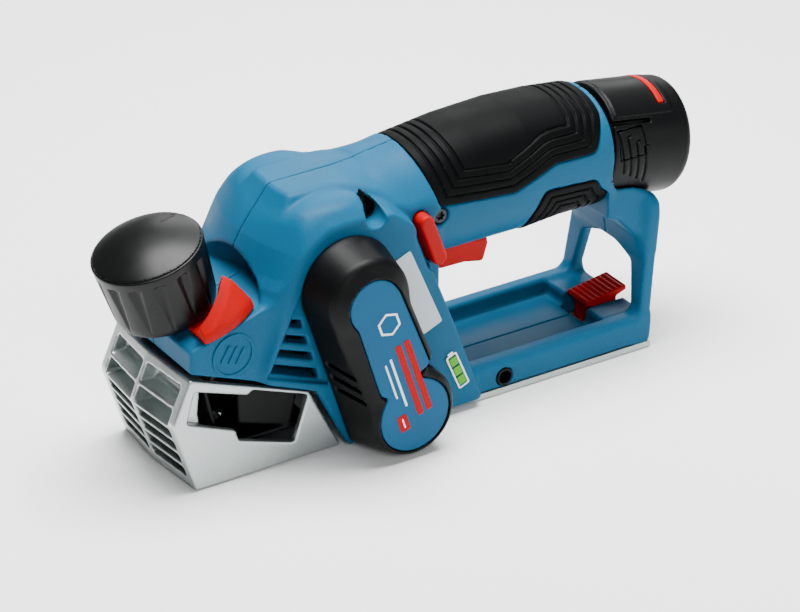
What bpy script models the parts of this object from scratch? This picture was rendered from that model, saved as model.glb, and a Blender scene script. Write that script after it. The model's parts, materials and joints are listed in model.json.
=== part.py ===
"""Cordless electric hand planer: two housing halves, belt-driven cutter drum, adjustable front shoe,
sliding battery pack, trigger, lock-off buttons, chip selector and parking rest.

Lengths are in millimetres in the functions below and become metres in at() and the mesh helpers.
x runs from the front shoe's lower front corner towards the battery, y to the planer's right, z up
from the sole. at() then moves the planer so that the middle of its footprint is the origin."""

import math

import bmesh
import bpy
from mathutils import Matrix, Vector

MM = 0.001
SHOE_CORNER_X = 108.2  # the shoe's lower front corner lies this far in front of the origin
CENTRE_PLANE_Y = 10.0  # the parting plane lies this far to the right of the origin
GAP = 0.3  # between pieces that touch

SOLE_LENGTH = 214.6
SOLE_HALF_WIDTH = 29.0
SOLE_THICKNESS = 2.4
BASE_BOTTOM = SOLE_THICKNESS + GAP

KNOB_LEAN = math.radians(16.4)
KNOB_BASE = (5.5, 0.0, 65.5)
KNOB_RADIUS = 22.3
SPINDLE_RADIUS = 3.0

MOTOR_AXIS = (67.0, 71.0)
DRUM_AXIS = (84.5, 19.5)
CUTTING_RADIUS = 19.4
DRUM_RADIUS = 18.4
MOTOR_PULLEY_RADIUS = 8.0
DRUM_PULLEY_RADIUS = 12.8
BELT_THICKNESS = 2.0
COVER_BACK_Y = -33.3
COVER_FACE_Y = -53.5
RIGHT_BOSS_Y = 33.5

TRIGGER_PIN = (123.5, 60.5)
REST_PIN = (210.5, 8.5)
PIN_REACH = 11.4  # how far each pin goes from the parting plane

STEM_SLOPE = math.radians(4.0)
STEM_START = (198.0, 0.0, 85.5)
STEM_RADIUS = 19.6
STEM_LENGTH = 66.0
PACK_SLOPE = math.radians(8.7)
PACK_RADIUS = 24.4
PACK_FRONT = (197.8, 0.0, 85.9)
PACK_LENGTH = 39.5

# Handle stations: x, centre height, half width, half height
HANDLE = (
    (92.0, 82.0, 23.0, 24.0),
    (111.0, 85.0, 24.5, 25.0),
    (134.0, 86.4, 25.0, 26.4),
    (158.0, 86.9, 25.5, 26.9),
    (177.0, 87.2, 25.0, 25.7),
    (197.4, 86.0, 24.4, 24.5),
)

COLOURS = {
    "blue_plastic": ((0.035, 0.19, 0.35), 0.45, 0.0),
    "black_plastic": ((0.012, 0.014, 0.015), 0.5, 0.0),
    "grip_rubber": ((0.015, 0.018, 0.018), 0.7, 0.0),
    "red_plastic": ((0.72, 0.01, 0.02), 0.4, 0.0),
    "cast_aluminium": ((0.58, 0.62, 0.61), 0.45, 1.0),
    "machined_steel": ((0.5, 0.5, 0.5), 0.3, 1.0),
    "pale_plate": ((0.62, 0.66, 0.67), 0.4, 0.0),
    "gauge_lens": ((0.25, 0.62, 0.2), 0.25, 0.0),
    "copper_winding": ((0.7, 0.33, 0.16), 0.4, 1.0),
    "board_green": ((0.02, 0.16, 0.07), 0.5, 0.0),
    "cell_wrap": ((0.1, 0.35, 0.25), 0.4, 0.0),
}


def at(x, y, z):
    return Vector(((x - SHOE_CORNER_X) * MM, (y + CENTRE_PLANE_Y) * MM, z * MM))


def clear_scene():
    for item in list(bpy.data.objects):
        bpy.data.objects.remove(item, do_unlink=True)


def new_collection(name):
    collection = bpy.data.collections.new(name)
    bpy.context.scene.collection.children.link(collection)
    return collection


def material(name):
    found = bpy.data.materials.get(name)
    if found:
        return found
    colour, roughness, metallic = COLOURS[name]
    made = bpy.data.materials.new(name)
    made.use_nodes = True
    shader = made.node_tree.nodes["Principled BSDF"]
    shader.inputs["Base Color"].default_value = (*colour, 1.0)
    shader.inputs["Roughness"].default_value = roughness
    shader.inputs["Metallic"].default_value = metallic
    return made


def object_of(mesh, name, slot=None):
    made = bpy.data.objects.new(name, mesh)
    if slot:
        PARTS.objects.link(made)
        mesh.materials.clear()
        mesh.materials.append(material(slot))
    else:
        GUIDES.objects.link(made)
        made.hide_render = True
        made.display_type = "WIRE"
    mesh.shade_smooth()
    mesh.set_sharp_from_angle(angle=math.radians(35))
    return made


def mesh_from(work, name):
    bmesh.ops.recalc_face_normals(work, faces=work.faces)
    if work.calc_volume(signed=True) < 0:
        bmesh.ops.reverse_faces(work, faces=work.faces)
    mesh = bpy.data.meshes.new(name)
    work.to_mesh(mesh)
    work.free()
    return mesh


def evaluated_mesh(item):
    graph = bpy.context.evaluated_depsgraph_get()
    mesh = bpy.data.meshes.new_from_object(item.evaluated_get(graph))
    mesh.transform(item.matrix_world)
    return mesh


def box(name, low, high, slot=None, edge=0.0):
    """A block between two corners, with its edges bevelled by edge."""
    work = bmesh.new()
    bmesh.ops.create_cube(work, size=1.0)
    size = [(b - a) * MM for a, b in zip(low, high)]
    middle = at(*[(a + b) / 2 for a, b in zip(low, high)])
    work.transform(Matrix.Translation(middle) @ Matrix.Diagonal((*size, 1.0)))
    if edge:
        bmesh.ops.bevel(work, geom=work.edges[:], offset=edge * MM, segments=2, affect="EDGES")
    return object_of(mesh_from(work, name), name, slot)


def along(start, direction):
    """The matrix that takes local +Z to a direction from a start point."""
    return Matrix.Translation(start) @ direction.to_track_quat("Z", "Y").to_matrix().to_4x4()


def rod(name, start, end, radius, slot=None, sides=24, end_radius=None):
    """A round bar, or a cone where end_radius is given."""
    a, b = at(*start), at(*end)
    work = bmesh.new()
    bmesh.ops.create_cone(
        work,
        cap_ends=True,
        segments=sides,
        radius1=radius * MM,
        radius2=(radius if end_radius is None else end_radius) * MM,
        depth=(b - a).length,
        matrix=along((a + b) / 2, b - a),
    )
    return object_of(mesh_from(work, name), name, slot)


def round_corners(points, radius, steps=4):
    """The outline with each corner turned into an arc, in steps."""
    out = []
    count = len(points)
    for i, point in enumerate(points):
        here = Vector(point)
        before = Vector(points[i - 1]) - here
        after = Vector(points[(i + 1) % count]) - here
        half = before.angle(after) / 2
        reach = min(radius / math.tan(half), 0.45 * before.length, 0.45 * after.length)
        start = here + before.normalized() * reach
        end = here + after.normalized() * reach
        for k in range(steps + 1):
            t = k / steps
            out.append(tuple((1 - t) ** 2 * start + 2 * t * (1 - t) * here + t**2 * end))
    return out


def filled_outline(points, thickness):
    """A flat outline as a mesh, in local x and y, with its thickness along local z."""
    curve = bpy.data.curves.new("outline", "CURVE")
    curve.dimensions = "2D"
    curve.fill_mode = "BOTH"
    curve.extrude = thickness * MM / 2
    spline = curve.splines.new("POLY")
    spline.points.add(len(points) - 1)
    for place, (u, v) in zip(spline.points, points):
        place.co = (u * MM, v * MM, 0.0, 1.0)
    spline.use_cyclic_u = True
    item = bpy.data.objects.new("outline", curve)
    GUIDES.objects.link(item)
    mesh = evaluated_mesh(item)
    bpy.data.objects.remove(item, do_unlink=True)
    work = bmesh.new()
    work.from_mesh(mesh)
    bmesh.ops.remove_doubles(work, verts=work.verts, dist=1e-6)
    return work


def side_plate(name, outline, y_low, y_high, slot=None):
    """An outline in x and z, given a thickness from y_low to y_high."""
    work = filled_outline(outline, y_high - y_low)
    turn = Matrix.Rotation(math.radians(90), 4, "X")
    work.transform(Matrix.Translation(at(0, (y_low + y_high) / 2, 0)) @ turn)
    return object_of(mesh_from(work, name), name, slot)


def end_plate(name, outline, x_low, x_high, slot=None, lean=0.0):
    """An outline in y and z, given a thickness along x and sheared backwards with height."""
    work = filled_outline(outline, x_high - x_low)
    turn = Matrix(((0, 0, 1, 0), (1, 0, 0, 0), (0, 1, 0, 0), (0, 0, 0, 1)))
    shear = Matrix.Identity(4)
    shear[0][2] = lean
    work.transform(Matrix.Translation(at((x_low + x_high) / 2, 0, 0)) @ shear @ turn)
    return object_of(mesh_from(work, name), name, slot)


def turned(name, profile, start, direction, slot=None, steps=32):
    """A profile of (radius, height) points turned about an axis through start."""
    mesh = bpy.data.meshes.new(name)
    points = [(radius * MM, 0.0, height * MM) for radius, height in profile]
    edges = [(i, i + 1) for i in range(len(points) - 1)]
    if profile[0][0] > 0 and profile[-1][0] > 0:
        edges.append((len(points) - 1, 0))
    mesh.from_pydata(points, edges, [])
    item = object_of(mesh, name + "_profile")
    screw = item.modifiers.new("turn", "SCREW")
    screw.steps = steps
    screw.render_steps = steps
    screw.use_merge_vertices = True
    screw.merge_threshold = 1e-6
    work = bmesh.new()
    work.from_mesh(evaluated_mesh(item))
    bpy.data.objects.remove(item, do_unlink=True)
    bmesh.ops.remove_doubles(work, verts=work.verts, dist=1e-6)
    work.transform(along(at(*start), Vector(direction)))
    return object_of(mesh_from(work, name), name, slot)


def tube(name, start, end, inner, outer, slot=None, sides=24):
    length = (Vector(end) - Vector(start)).length
    profile = ((outer, length), (outer, 0.0), (inner, 0.0), (inner, length))
    return turned(name, profile, start, Vector(end) - Vector(start), slot, sides)


def loft(name, rings, slot=None):
    """A skin over rings of equally many points, with both ends closed."""
    work = bmesh.new()
    skin = [[work.verts.new(point) for point in ring] for ring in rings]
    count = len(rings[0])
    for first, second in zip(skin, skin[1:]):
        for i in range(count):
            j = (i + 1) % count
            work.faces.new((first[i], first[j], second[j], second[i]))
    work.faces.new(skin[0])
    work.faces.new(skin[-1])
    bmesh.ops.triangulate(work, faces=work.faces)
    return object_of(mesh_from(work, name), name, slot)


def combine(target, tool, operation):
    change = target.modifiers.new(operation, "BOOLEAN")
    change.operation = operation
    change.solver = "EXACT"
    change.object = tool
    old = target.data
    slots = list(old.materials)
    mesh = evaluated_mesh(target)
    target.modifiers.clear()
    target.data = mesh
    bpy.data.meshes.remove(old)
    mesh.materials.clear()
    for slot in slots:
        mesh.materials.append(slot)
    bpy.data.objects.remove(tool, do_unlink=True)
    return target


def cut(target, *tools):
    for tool in tools:
        combine(target, tool, "DIFFERENCE")
    return target


def join(target, *tools):
    for tool in tools:
        combine(target, tool, "UNION")
    return target


def keep(target, tool):
    return combine(target, tool, "INTERSECT")


def carried(name, place, items):
    """An empty on a joint's axis that carries its body's pieces."""
    pivot = bpy.data.objects.new(name, None)
    PARTS.objects.link(pivot)
    pivot.location = at(*place)
    bpy.context.view_layer.update()
    for item in items:
        item.parent = pivot
        item.matrix_parent_inverse = pivot.matrix_world.inverted()
    return pivot


def circle(centre, radius, start=0.0, stop=360.0, steps=24):
    """Arc points in a plane, both ends included unless the circle is whole."""
    last = steps if abs(stop - start) >= 360 else steps + 1
    turns = [math.radians(start + (stop - start) * k / steps) for k in range(last)]
    return [(centre[0] + radius * math.cos(t), centre[1] + radius * math.sin(t)) for t in turns]


def belt_outline(upper_radius, lower_radius, steps=10):
    """The taut outline round two circles on the motor and drum axes."""
    upper, lower = Vector(MOTOR_AXIS), Vector(DRUM_AXIS)
    span = upper - lower
    heading = math.degrees(math.atan2(span.y, span.x))
    spread = math.degrees(math.acos((lower_radius - upper_radius) / span.length))
    top = circle(MOTOR_AXIS, upper_radius, heading - spread, heading + spread, steps)
    bottom = circle(DRUM_AXIS, lower_radius, heading + spread, heading - spread + 360, steps)
    return top + bottom


# ---------------------------------------------------------------- knob axis


def on_knob(radius, turn, height):
    """A point about the knob's axis; turn is in degrees from the rear towards the left side."""
    side = math.sin(math.radians(turn)) * radius
    back = math.cos(math.radians(turn)) * radius
    x = KNOB_BASE[0] + back * math.cos(KNOB_LEAN) - height * math.sin(KNOB_LEAN)
    z = KNOB_BASE[2] + back * math.sin(KNOB_LEAN) + height * math.cos(KNOB_LEAN)
    return (x, -side, z)


def knob_direction():
    return (-math.sin(KNOB_LEAN), 0.0, math.cos(KNOB_LEAN))


def knob_turned(name, profile, slot=None, steps=32):
    return turned(name, profile, KNOB_BASE, knob_direction(), slot, steps)


def depth_knob():
    skirt = ((0.0, 29.2), (21.2, 29.2), (22.3, 28.2), (20.9, 10.0), (20.0, 2.5), (18.4, 0.4), (0.0, 0.4))
    knob = knob_turned("depth_knob", skirt, "black_plastic", 40)
    bore = rod("bore", on_knob(0, 0, -1), on_knob(0, 0, 26), SPINDLE_RADIUS + GAP)
    return cut(knob, bore)


def knob_cap():
    dome = ((0.0, 34.6), (8.0, 34.1), (14.5, 32.6), (19.0, 30.6), (20.8, 29.5), (0.0, 29.5))
    return knob_turned("knob_cap", dome, "black_plastic", 40)


def depth_spindle():
    return rod("depth_spindle", on_knob(0, 0, 25.5), on_knob(0, 0, -60), SPINDLE_RADIUS, "machined_steel", 20)


def selector_lever():
    """A flat ring under the knob with a wedge-shaped thumb piece beside it."""
    wedge_profile = (
        (17.5, -2.4),
        (35.0, -2.4),
        (35.2, 1.0),
        (31.5, 6.5),
        (26.0, 18.6),
        (23.2, 18.6),
        (22.8, 1.0),
        (21.6, -0.6),
        (17.5, -0.6),
    )
    rings = []
    for k in range(9):
        turn = 45.0 + 47.0 * k / 8
        rings.append([at(*on_knob(radius, turn, height)) for radius, height in wedge_profile])
    lever = loft("selector_lever", rings, "red_plastic")
    ring = ((19.3, -0.5), (19.3, -2.5), (SPINDLE_RADIUS + 0.4, -2.5), (SPINDLE_RADIUS + 0.4, -0.5))
    return join(lever, knob_turned("ring", ring, None, 32))


def chip_deflector():
    """A sleeve round the spindle with a vane that turns the chips to one side."""
    sleeve = ((5.4, -2.9), (5.4, -50.0), (3.4, -50.0), (3.4, -2.9))
    deflector = knob_turned("chip_deflector", sleeve, "black_plastic", 24)
    low, high, reach = -49.5, -36.8, 19.0
    vane = []
    for height in (low, high):
        vane.append(
            [
                at(*on_knob(4.4, 90, height)),
                at(*on_knob(reach, 72, height)),
                at(*on_knob(reach, 66, height)),
                at(*on_knob(4.8, 50, height)),
            ]
        )
    return join(deflector, loft("vane", vane))


# ---------------------------------------------------------------- front shoe

SHOE_SIDE = ((0, 0), (-9.5, 30.5), (-1.35, 48.8), (51.1, 28.4), (65.2, 0))
SHOE_WINDOW = (
    (2.4, 43.1),
    (-1.6, 32.2),
    (18.0, 24.2),
    (19.6, 19.7),
    (44.2, 11.5),
    (50.8, 26.0),
    (25.8, 36.8),
    (22.2, 34.9),
)
NOSE_FORWARD = 2.3  # the front face is a shallow vee, deepest on the centre plane
RIB_HEIGHTS = (4.0, 10.2, 16.4, 22.6, 28.8, 37.0, 46.0)
RIB_HALF_THICKNESS = 0.75


def shoe_front_x(height):
    """Where the shoe's front face stands at a height."""
    (x0, z0), (x1, z1), (x2, z2) = SHOE_SIDE[:3]
    if height < z1:
        return x0 + (x1 - x0) * (height - z0) / (z1 - z0)
    return x1 + (x2 - x1) * (height - z1) / (z2 - z1)


def front_shoe():
    rings = []
    for y, forward in ((-SOLE_HALF_WIDTH, 0.0), (0.0, NOSE_FORWARD), (SOLE_HALF_WIDTH, 0.0)):
        front = [at(x - forward, y, z) for x, z in SHOE_SIDE[:3]]
        rings.append(front + [at(x, y, z) for x, z in SHOE_SIDE[3:]])
    shoe = loft("front_shoe", rings, "cast_aluminium")
    hollow = ((8.0, 4.0), (0.4, 31.0), (4.0, 60.0), (80.0, 60.0), (80.0, 4.0))
    cut(shoe, side_plate("hollow", hollow, -26.0, 26.0))
    for sign in (-1, 1):
        low, high = sorted((sign * 25.0, sign * 40.0))
        cut(shoe, side_plate("window", round_corners(SHOE_WINDOW, 1.2, 2), low, high))
    boss = rod("boss", on_knob(0, 0, -65.0), on_knob(0, 0, -56.0), 5.2)
    join(shoe, boss)
    cut(shoe, rod("bore", on_knob(0, 0, -62.5), on_knob(0, 0, -45), SPINDLE_RADIUS + GAP))
    for low, high in zip(RIB_HEIGHTS, RIB_HEIGHTS[1:]):
        for side in (-1, 1):
            cut(shoe, front_pocket(low + RIB_HALF_THICKNESS, high - RIB_HALF_THICKNESS, side))
    return shoe


def front_pocket(bottom, top, side):
    """One of the openings between the ribs of the shoe's face, left or right of its middle rib."""
    rings = []
    for y in (side * 1.1, side * 24.4):
        front = [at(shoe_front_x(height) - 6.0, y, height) for height in (bottom, top)]
        back = [at(shoe_front_x(height) + 6.5, y, height) for height in (top, bottom)]
        rings.append(front + back)
    return loft("pocket", rings)


def chip_chute():
    """The duct inside the shoe, open to the drum and to both sides."""
    outer = ((12.0, 12.0), (6.0, 42.0), (10.0, 48.5), (49.5, 33.0), (50.5, 30.5), (55.5, 18.0), (53.5, 12.0))
    inner = ((13.8, 14.0), (8.0, 40.5), (11.0, 46.0), (46.5, 32.0), (90.0, 32.0), (90.0, 14.0))
    chute = side_plate("chip_chute", outer, -24.8, 24.8, "black_plastic")
    cut(chute, side_plate("duct", inner, -30.0, 30.0))
    return cut(chute, rod("spindle_way", on_knob(0, 0, -70), on_knob(0, 0, 0), 5.8))


# ---------------------------------------------------------------- housing


def handle_ring(station, grow, points=28):
    x, height, half_width, half_height = station
    ring = []
    for k in range(points):
        turn = 2 * math.pi * k / points
        across = math.copysign(abs(math.cos(turn)) ** 0.9, math.cos(turn))
        up = math.copysign(abs(math.sin(turn)) ** 0.9, math.sin(turn))
        ring.append(at(x, (half_width + grow) * across, height + (half_height + grow) * up))
    return ring


def handle_form(name, grow=0.0):
    return loft(name, [handle_ring(station, grow) for station in HANDLE])


def head_form():
    side = (
        (-1.0, 51.2),
        (-1.0, 62.6),
        (30.0, 71.8),
        (33.8, 80.0),
        (44.4, 98.2),
        (51.0, 106.5),
        (79.0, 107.0),
        (104.0, 108.5),
        (118.0, 110.0),
        (120.0, 62.0),
        (114.5, 45.0),
        (129.5, BASE_BOTTOM),
        (103.0, BASE_BOTTOM),
        (66.8, 1.0),
        (52.6, 29.6),
    )
    head = side_plate("head", side, -SOLE_HALF_WIDTH, SOLE_HALF_WIDTH)
    for sign in (-1, 1):
        bulk = []
        for y, front_height, rear_height in ((30, 86.0, 98.0), (11, 108.6, 113.0)):
            low_edge = [at(20, sign * y, front_height), at(130, sign * y, rear_height)]
            bulk.append(low_edge + [at(130, sign * y, 130), at(20, sign * y, 130)])
        cut(head, loft("shoulder", bulk))
    return head


PLATE_SIDE = (
    (52.3, 29.3),
    (46.5, 62.0),
    (47.5, 84.0),
    (58.0, 94.0),
    (90.0, 96.0),
    (97.0, 90.0),
    (116.0, 42.0),
    (129.9, BASE_BOTTOM + 0.2),
    (91.8, BASE_BOTTOM + 0.1),
    (88.0, 0.9),
    (66.5, 0.9),
)


def base_form():
    base = box("base", (104.0, -28.7, BASE_BOTTOM), (SOLE_LENGTH - 0.4, 28.7, 14.4), None, 0.8)
    tray = box("tray", (126.0, -20.5, 7.0), (197.0, 20.5, 30.0))
    cut(base, tray)
    for sign in (-1, 1):
        chamfer = [
            [at(100, sign * 24.5, 14.9), at(100, sign * 29.5, 9.5), at(100, sign * 32, 20)],
            [at(220, sign * 24.5, 14.9), at(220, sign * 29.5, 9.5), at(220, sign * 32, 20)],
        ]
        cut(base, loft("chamfer", chamfer))
    return base


PORTAL_LEAN = 0.12


def portal_form():
    outer = both_sides(((28.7, 9.0), (28.3, 16.0), (25.8, 56.0), (21.5, 69.0)))
    window = both_sides(((21.0, 14.0), (16.5, 35.0), (5.0, 39.0)))
    portal = end_plate("portal", outer, 208.5, 213.4, None, PORTAL_LEAN)
    cut(portal, end_plate("window", round_corners(window, 3.0, 3), 180.0, 240.0, None, PORTAL_LEAN))
    return portal


def both_sides(half):
    """An outline from its right half, mirrored in y."""
    return list(half) + [(-y, z) for y, z in reversed(half)]


def cradle_form():
    side = (
        (184.0, 74.0),
        (186.0, 64.0),
        (203.0, 56.5),
        (211.0, 48.0),
        (213.5, 41.0),
        (218.0, 41.0),
        (221.6, 69.0),
    )
    cradle = side_plate("cradle", side, -21.5, 21.5)
    return keep(cradle, end_plate("taper", ((-25, 30), (25, 30), (21.5, 75), (-21.5, 75)), 150.0, 260.0))


def knob_clearance():
    """Room for the knob and for the selector lever's swing."""
    profile = ((0.0, 60.0), (29.0, 60.0), (29.0, 20.0), (33.0, 9.0), (36.5, 4.0), (36.5, -2.8), (0.0, -2.8))
    return knob_turned("knob_clearance", profile, None, 40)


def stem_direction():
    return (math.cos(STEM_SLOPE), 0.0, -math.sin(STEM_SLOPE))


def stem_point(distance):
    """A point on the stem's axis, at a distance in front of its start."""
    d = stem_direction()
    return tuple(s - distance * c for s, c in zip(STEM_START, d))


def pack_point(distance):
    return (
        PACK_FRONT[0] + distance * math.cos(PACK_SLOPE),
        0.0,
        PACK_FRONT[2] - distance * math.sin(PACK_SLOPE),
    )


PAD_TOP = (
    (104.0, 125.0),
    (105.0, 110.0),
    (113.2, 91.0),
    (151.1, 88.6),
    (171.1, 93.4),
    (188.4, 94.5),
    (193.2, 106.7),
    (193.2, 125.0),
)
PAD_LOWER = (
    (157.0, 40.0),
    (157.0, 70.8),
    (169.1, 82.6),
    (183.6, 81.0),
    (185.7, 76.6),
    (194.5, 69.3),
    (194.5, 40.0),
)


def grown_outline(outline, grow):
    """The outline moved outwards by grow, which suits outlines that are nearly convex."""
    middle = Vector((sum(p[0] for p in outline), sum(p[1] for p in outline))) / len(outline)
    return [tuple(Vector(p) + (Vector(p) - middle).normalized() * grow) for p in outline]


def pad(name, outline, slot=None, grow_outline=0.0, out=0.6, inward=-0.9):
    piece = handle_form(name + "_skin", out)
    cut(piece, handle_form("core", inward))
    keep(piece, side_plate("limit", grown_outline(outline, grow_outline), -40.0, 40.0))
    if slot:
        made = object_of(piece.data.copy(), name, slot)
        bpy.data.objects.remove(piece, do_unlink=True)
        return made
    return piece


def housing_cavities(shell):
    """The room inside the head, the drum bay, the handle and the base."""
    head_room = (
        (38.0, 47.0),
        (38.0, 77.0),
        (48.0, 96.0),
        (54.0, 102.0),
        (104.0, 103.5),
        (118.0, 104.0),
        (118.0, 72.0),
        (110.0, 50.0),
        (104.0, 46.0),
    )
    cut(shell, side_plate("head_room", head_room, -19.6, 19.6))
    cut(shell, side_plate("motor_room", circle(MOTOR_AXIS, 21.5), -26.0, 26.0))
    cut(shell, side_plate("drum_bay", circle(DRUM_AXIS, 21.3), -28.4, 28.4))
    mouth = ((60.0, -2.0), (50.0, 10.0), (46.0, 22.0), (47.0, 33.5), (70.0, 34.5), (97.0, 18.0), (96.0, -2.0))
    cut(shell, side_plate("mouth", mouth, -28.2, 28.2))
    under_apron = ((2.0, 40.0), (6.0, 50.2), (50.5, 34.2), (60.0, 20.0), (40.0, 20.0))
    cut(shell, side_plate("under_apron", under_apron, -25.6, 25.6))
    cut(shell, rod("stem_room", stem_point(76.0), stem_point(-10.0), STEM_RADIUS + 0.8, None, 32))
    cut(shell, box("switch_room", (112.0, -9.0, 60.0), (151.0, 9.0, 84.0)))
    for x, z in (MOTOR_AXIS, DRUM_AXIS):
        cut(shell, rod("bearing_seats", (x, -40.0, z), (x, 32.7, z), 7.3, None, 24))
    return shell


def housing():
    shell = head_form()
    shell.name = "housing"
    join(shell, handle_form("handle"))
    join(shell, side_plate("left_boss", PLATE_SIDE, -33.0, -22.3))
    join(shell, side_plate("right_boss", belt_outline(22.0, 18.2), 22.3, RIGHT_BOSS_Y))
    join(shell, base_form(), portal_form(), cradle_form())
    housing_cavities(shell)
    cut(shell, knob_clearance())
    cut(shell, rod("sleeve_way", on_knob(0, 0, -30), on_knob(0, 0, 1), 5.8))
    cut(shell, pad("top_recess", PAD_TOP, None, 0.35, 4.0, -1.2))
    cut(shell, pad("lower_recess", PAD_LOWER, None, 0.35, 4.0, -1.2))
    cut(shell, rod("pack_room", pack_point(-0.4), pack_point(60), PACK_RADIUS + 0.4, None, 40))
    cut(shell, box("trigger_way", (119.5, -8.6, 40.0), (150.5, 8.6, 70.0)))
    for sign in (-1, 1):
        cut(shell, rod("guide_bore", (142.7, sign * 40.0, 6.9), (142.7, sign * 16.0, 6.9), 3.95, None, 20))
        low, high = sorted((sign * 18.0, sign * 40.0))
        cut(shell, side_plate("button_way", lock_outline(0.4), low, high))
    for name, (x, z), depth in SCREW_SEATS:
        cut(shell, rod(name + "_seat", (x, -40, z), (x, depth, z), 3.6, None, 20))
        cut(shell, rod(name + "_hole", (x, -40, z), (x, 12.0, z), 1.9, None, 12))
    cut(shell, side_plate("rest_way", ((195.0, 0), (195.0, 30), (217.0, 30.0), (217.0, 0)), -8.0, 8.0))
    x, z = REST_PIN
    cut(shell, rod("rest_pin_way", (x, -11.8, z), (x, 11.8, z), 1.5, None, 12))
    x, z = TRIGGER_PIN
    cut(shell, rod("trigger_pin_way", (x, -11.8, z), (x, 11.8, z), 1.3, None, 12))
    return shell


SCREW_SEATS = (
    ("head_screw", (78.0, 99.5), -22.0),
    ("grip_screw", (114.0, 85.5), -22.0),
)


def housing_halves():
    whole = housing()
    left = object_of(whole.data.copy(), "housing_left", "blue_plastic")
    right = object_of(whole.data.copy(), "housing_right", "blue_plastic")
    bpy.data.objects.remove(whole, do_unlink=True)
    keep(left, box("left_side", (-60, -80, -20), (300, -0.15, 160)))
    keep(right, box("right_side", (-60, 0.15, -20), (300, 80, 160)))
    return left, right


# ---------------------------------------------------------------- belt drive


def belt_cover():
    outline = belt_outline(20.8, 18.2, 14)
    cover = side_plate("belt_cover", outline, COVER_FACE_Y, COVER_BACK_Y, "black_plastic")
    cut(cover, side_plate("belt_room", belt_outline(18.0, 16.2, 12), COVER_FACE_Y + 4.0, -20.0))
    return cut(cover, side_plate("inset", belt_outline(14.2, 15.2, 12), -60.0, COVER_FACE_Y + 1.6))


def cover_panel():
    return side_plate(
        "cover_panel", belt_outline(13.9, 14.9, 12), COVER_FACE_Y + 0.1, COVER_FACE_Y + 1.3, "blue_plastic"
    )


def drive_belt():
    inner = (MOTOR_PULLEY_RADIUS + GAP, DRUM_PULLEY_RADIUS + GAP)
    outer = [radius + BELT_THICKNESS for radius in inner]
    belt = side_plate("drive_belt", belt_outline(*outer), -45.0, -37.0, "grip_rubber")
    return cut(belt, side_plate("loop", belt_outline(*inner), -50.0, -30.0))


def pulley(name, axis, radius, bore):
    x, z = axis
    return tube(name, (x, -45.8, z), (x, -36.2, z), bore, radius, "machined_steel", 28)


def bearing(name, axis, y_low, bore):
    x, z = axis
    return tube(name, (x, y_low, z), (x, y_low + 3.6, z), bore, 7.0, "machined_steel", 24)


def motor_pieces():
    x, z = MOTOR_AXIS
    stator = tube("motor_stator", (x, -15, z), (x, 15, z), 12.6, 20.8, "copper_winding", 32)
    rotor = tube("motor_rotor", (x, -14, z), (x, 14, z), 2.8, 11.8, "machined_steel", 24)
    shaft = rod("motor_shaft", (x, -47.5, z), (x, 32.2, z), 2.5, "machined_steel", 20)
    blades = tube("motor_fan", (x, 17.5, z), (x, 24.0, z), 2.8, 8.0, "black_plastic", 24)
    for k in range(9):
        turn = Matrix.Rotation(math.radians(40 * k), 4, "Y")
        blade = box("blade", (6.5, -3.0, -0.7), (18.5, 3.0, 0.7))
        blade.data.transform(Matrix.Translation(-at(0, 0, 0)))
        blade.data.transform(Matrix.Translation(at(x, 20.7, z)) @ turn)
        join(blades, blade)
    return stator, [rotor, shaft, blades, pulley("motor_pulley", MOTOR_AXIS, MOTOR_PULLEY_RADIUS, 2.8)]


def drum_point(radius, turn, y):
    """A point about the drum's axis; turn is in degrees from straight down towards the rear."""
    angle = math.radians(turn)
    return (DRUM_AXIS[0] + radius * math.sin(angle), y, DRUM_AXIS[1] - radius * math.cos(angle))


BLADE_TURN = 150.0


def drum_bar(name, sections, half_length, slot=None):
    """A bar along the drum, its section given by radius and turn."""
    rings = []
    for y in (-half_length, half_length):
        rings.append([at(*drum_point(radius, turn, y)) for radius, turn in sections])
    return loft(name, rings, slot)


def drum_pieces():
    x, z = DRUM_AXIS
    drum = rod("cutter_drum", (x, -27.6, z), (x, 27.6, z), DRUM_RADIUS, "cast_aluminium", 40)
    join(drum, rod("drum_shaft", (x, -47.5, z), (x, 32.2, z), 4.0, None, 20))
    pocket = (
        (20.5, BLADE_TURN - 24.0),
        (11.2, BLADE_TURN - 26.0),
        (11.2, BLADE_TURN + 14.0),
        (20.5, BLADE_TURN + 8.0),
    )
    cut(drum, drum_bar("pocket", pocket, 30.0))
    blade_section = (
        (CUTTING_RADIUS, BLADE_TURN + 5.0),
        (11.8, BLADE_TURN + 11.0),
        (11.8, BLADE_TURN + 6.0),
        (18.6, BLADE_TURN + 2.0),
    )
    blade = drum_bar("drum_blade", blade_section, 28.0, "machined_steel")
    clamp_section = (
        (17.6, BLADE_TURN + 0.6),
        (11.9, BLADE_TURN + 3.4),
        (11.9, BLADE_TURN - 22.0),
        (17.6, BLADE_TURN - 20.0),
    )
    clamp = drum_bar("blade_clamp", clamp_section, 26.5, "machined_steel")
    screws = []
    for k, y in enumerate((-18.0, 0.0, 18.0)):
        inner = drum_point(12.6, BLADE_TURN - 11, y)
        outer = drum_point(18.2, BLADE_TURN - 10, y)
        cut(clamp, rod("screw_hole", inner, drum_point(20.0, BLADE_TURN - 9.9, y), 2.6, None, 14))
        seat = drum_point(12.9, BLADE_TURN - 10.9, y)
        screws.append(rod(f"clamp_screw_{k + 1}", seat, outer, 2.2, "machined_steel", 14))
    return [drum, blade, clamp, *screws, pulley("drum_pulley", DRUM_AXIS, DRUM_PULLEY_RADIUS, 4.3)]


# ---------------------------------------------------------------- controls


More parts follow.
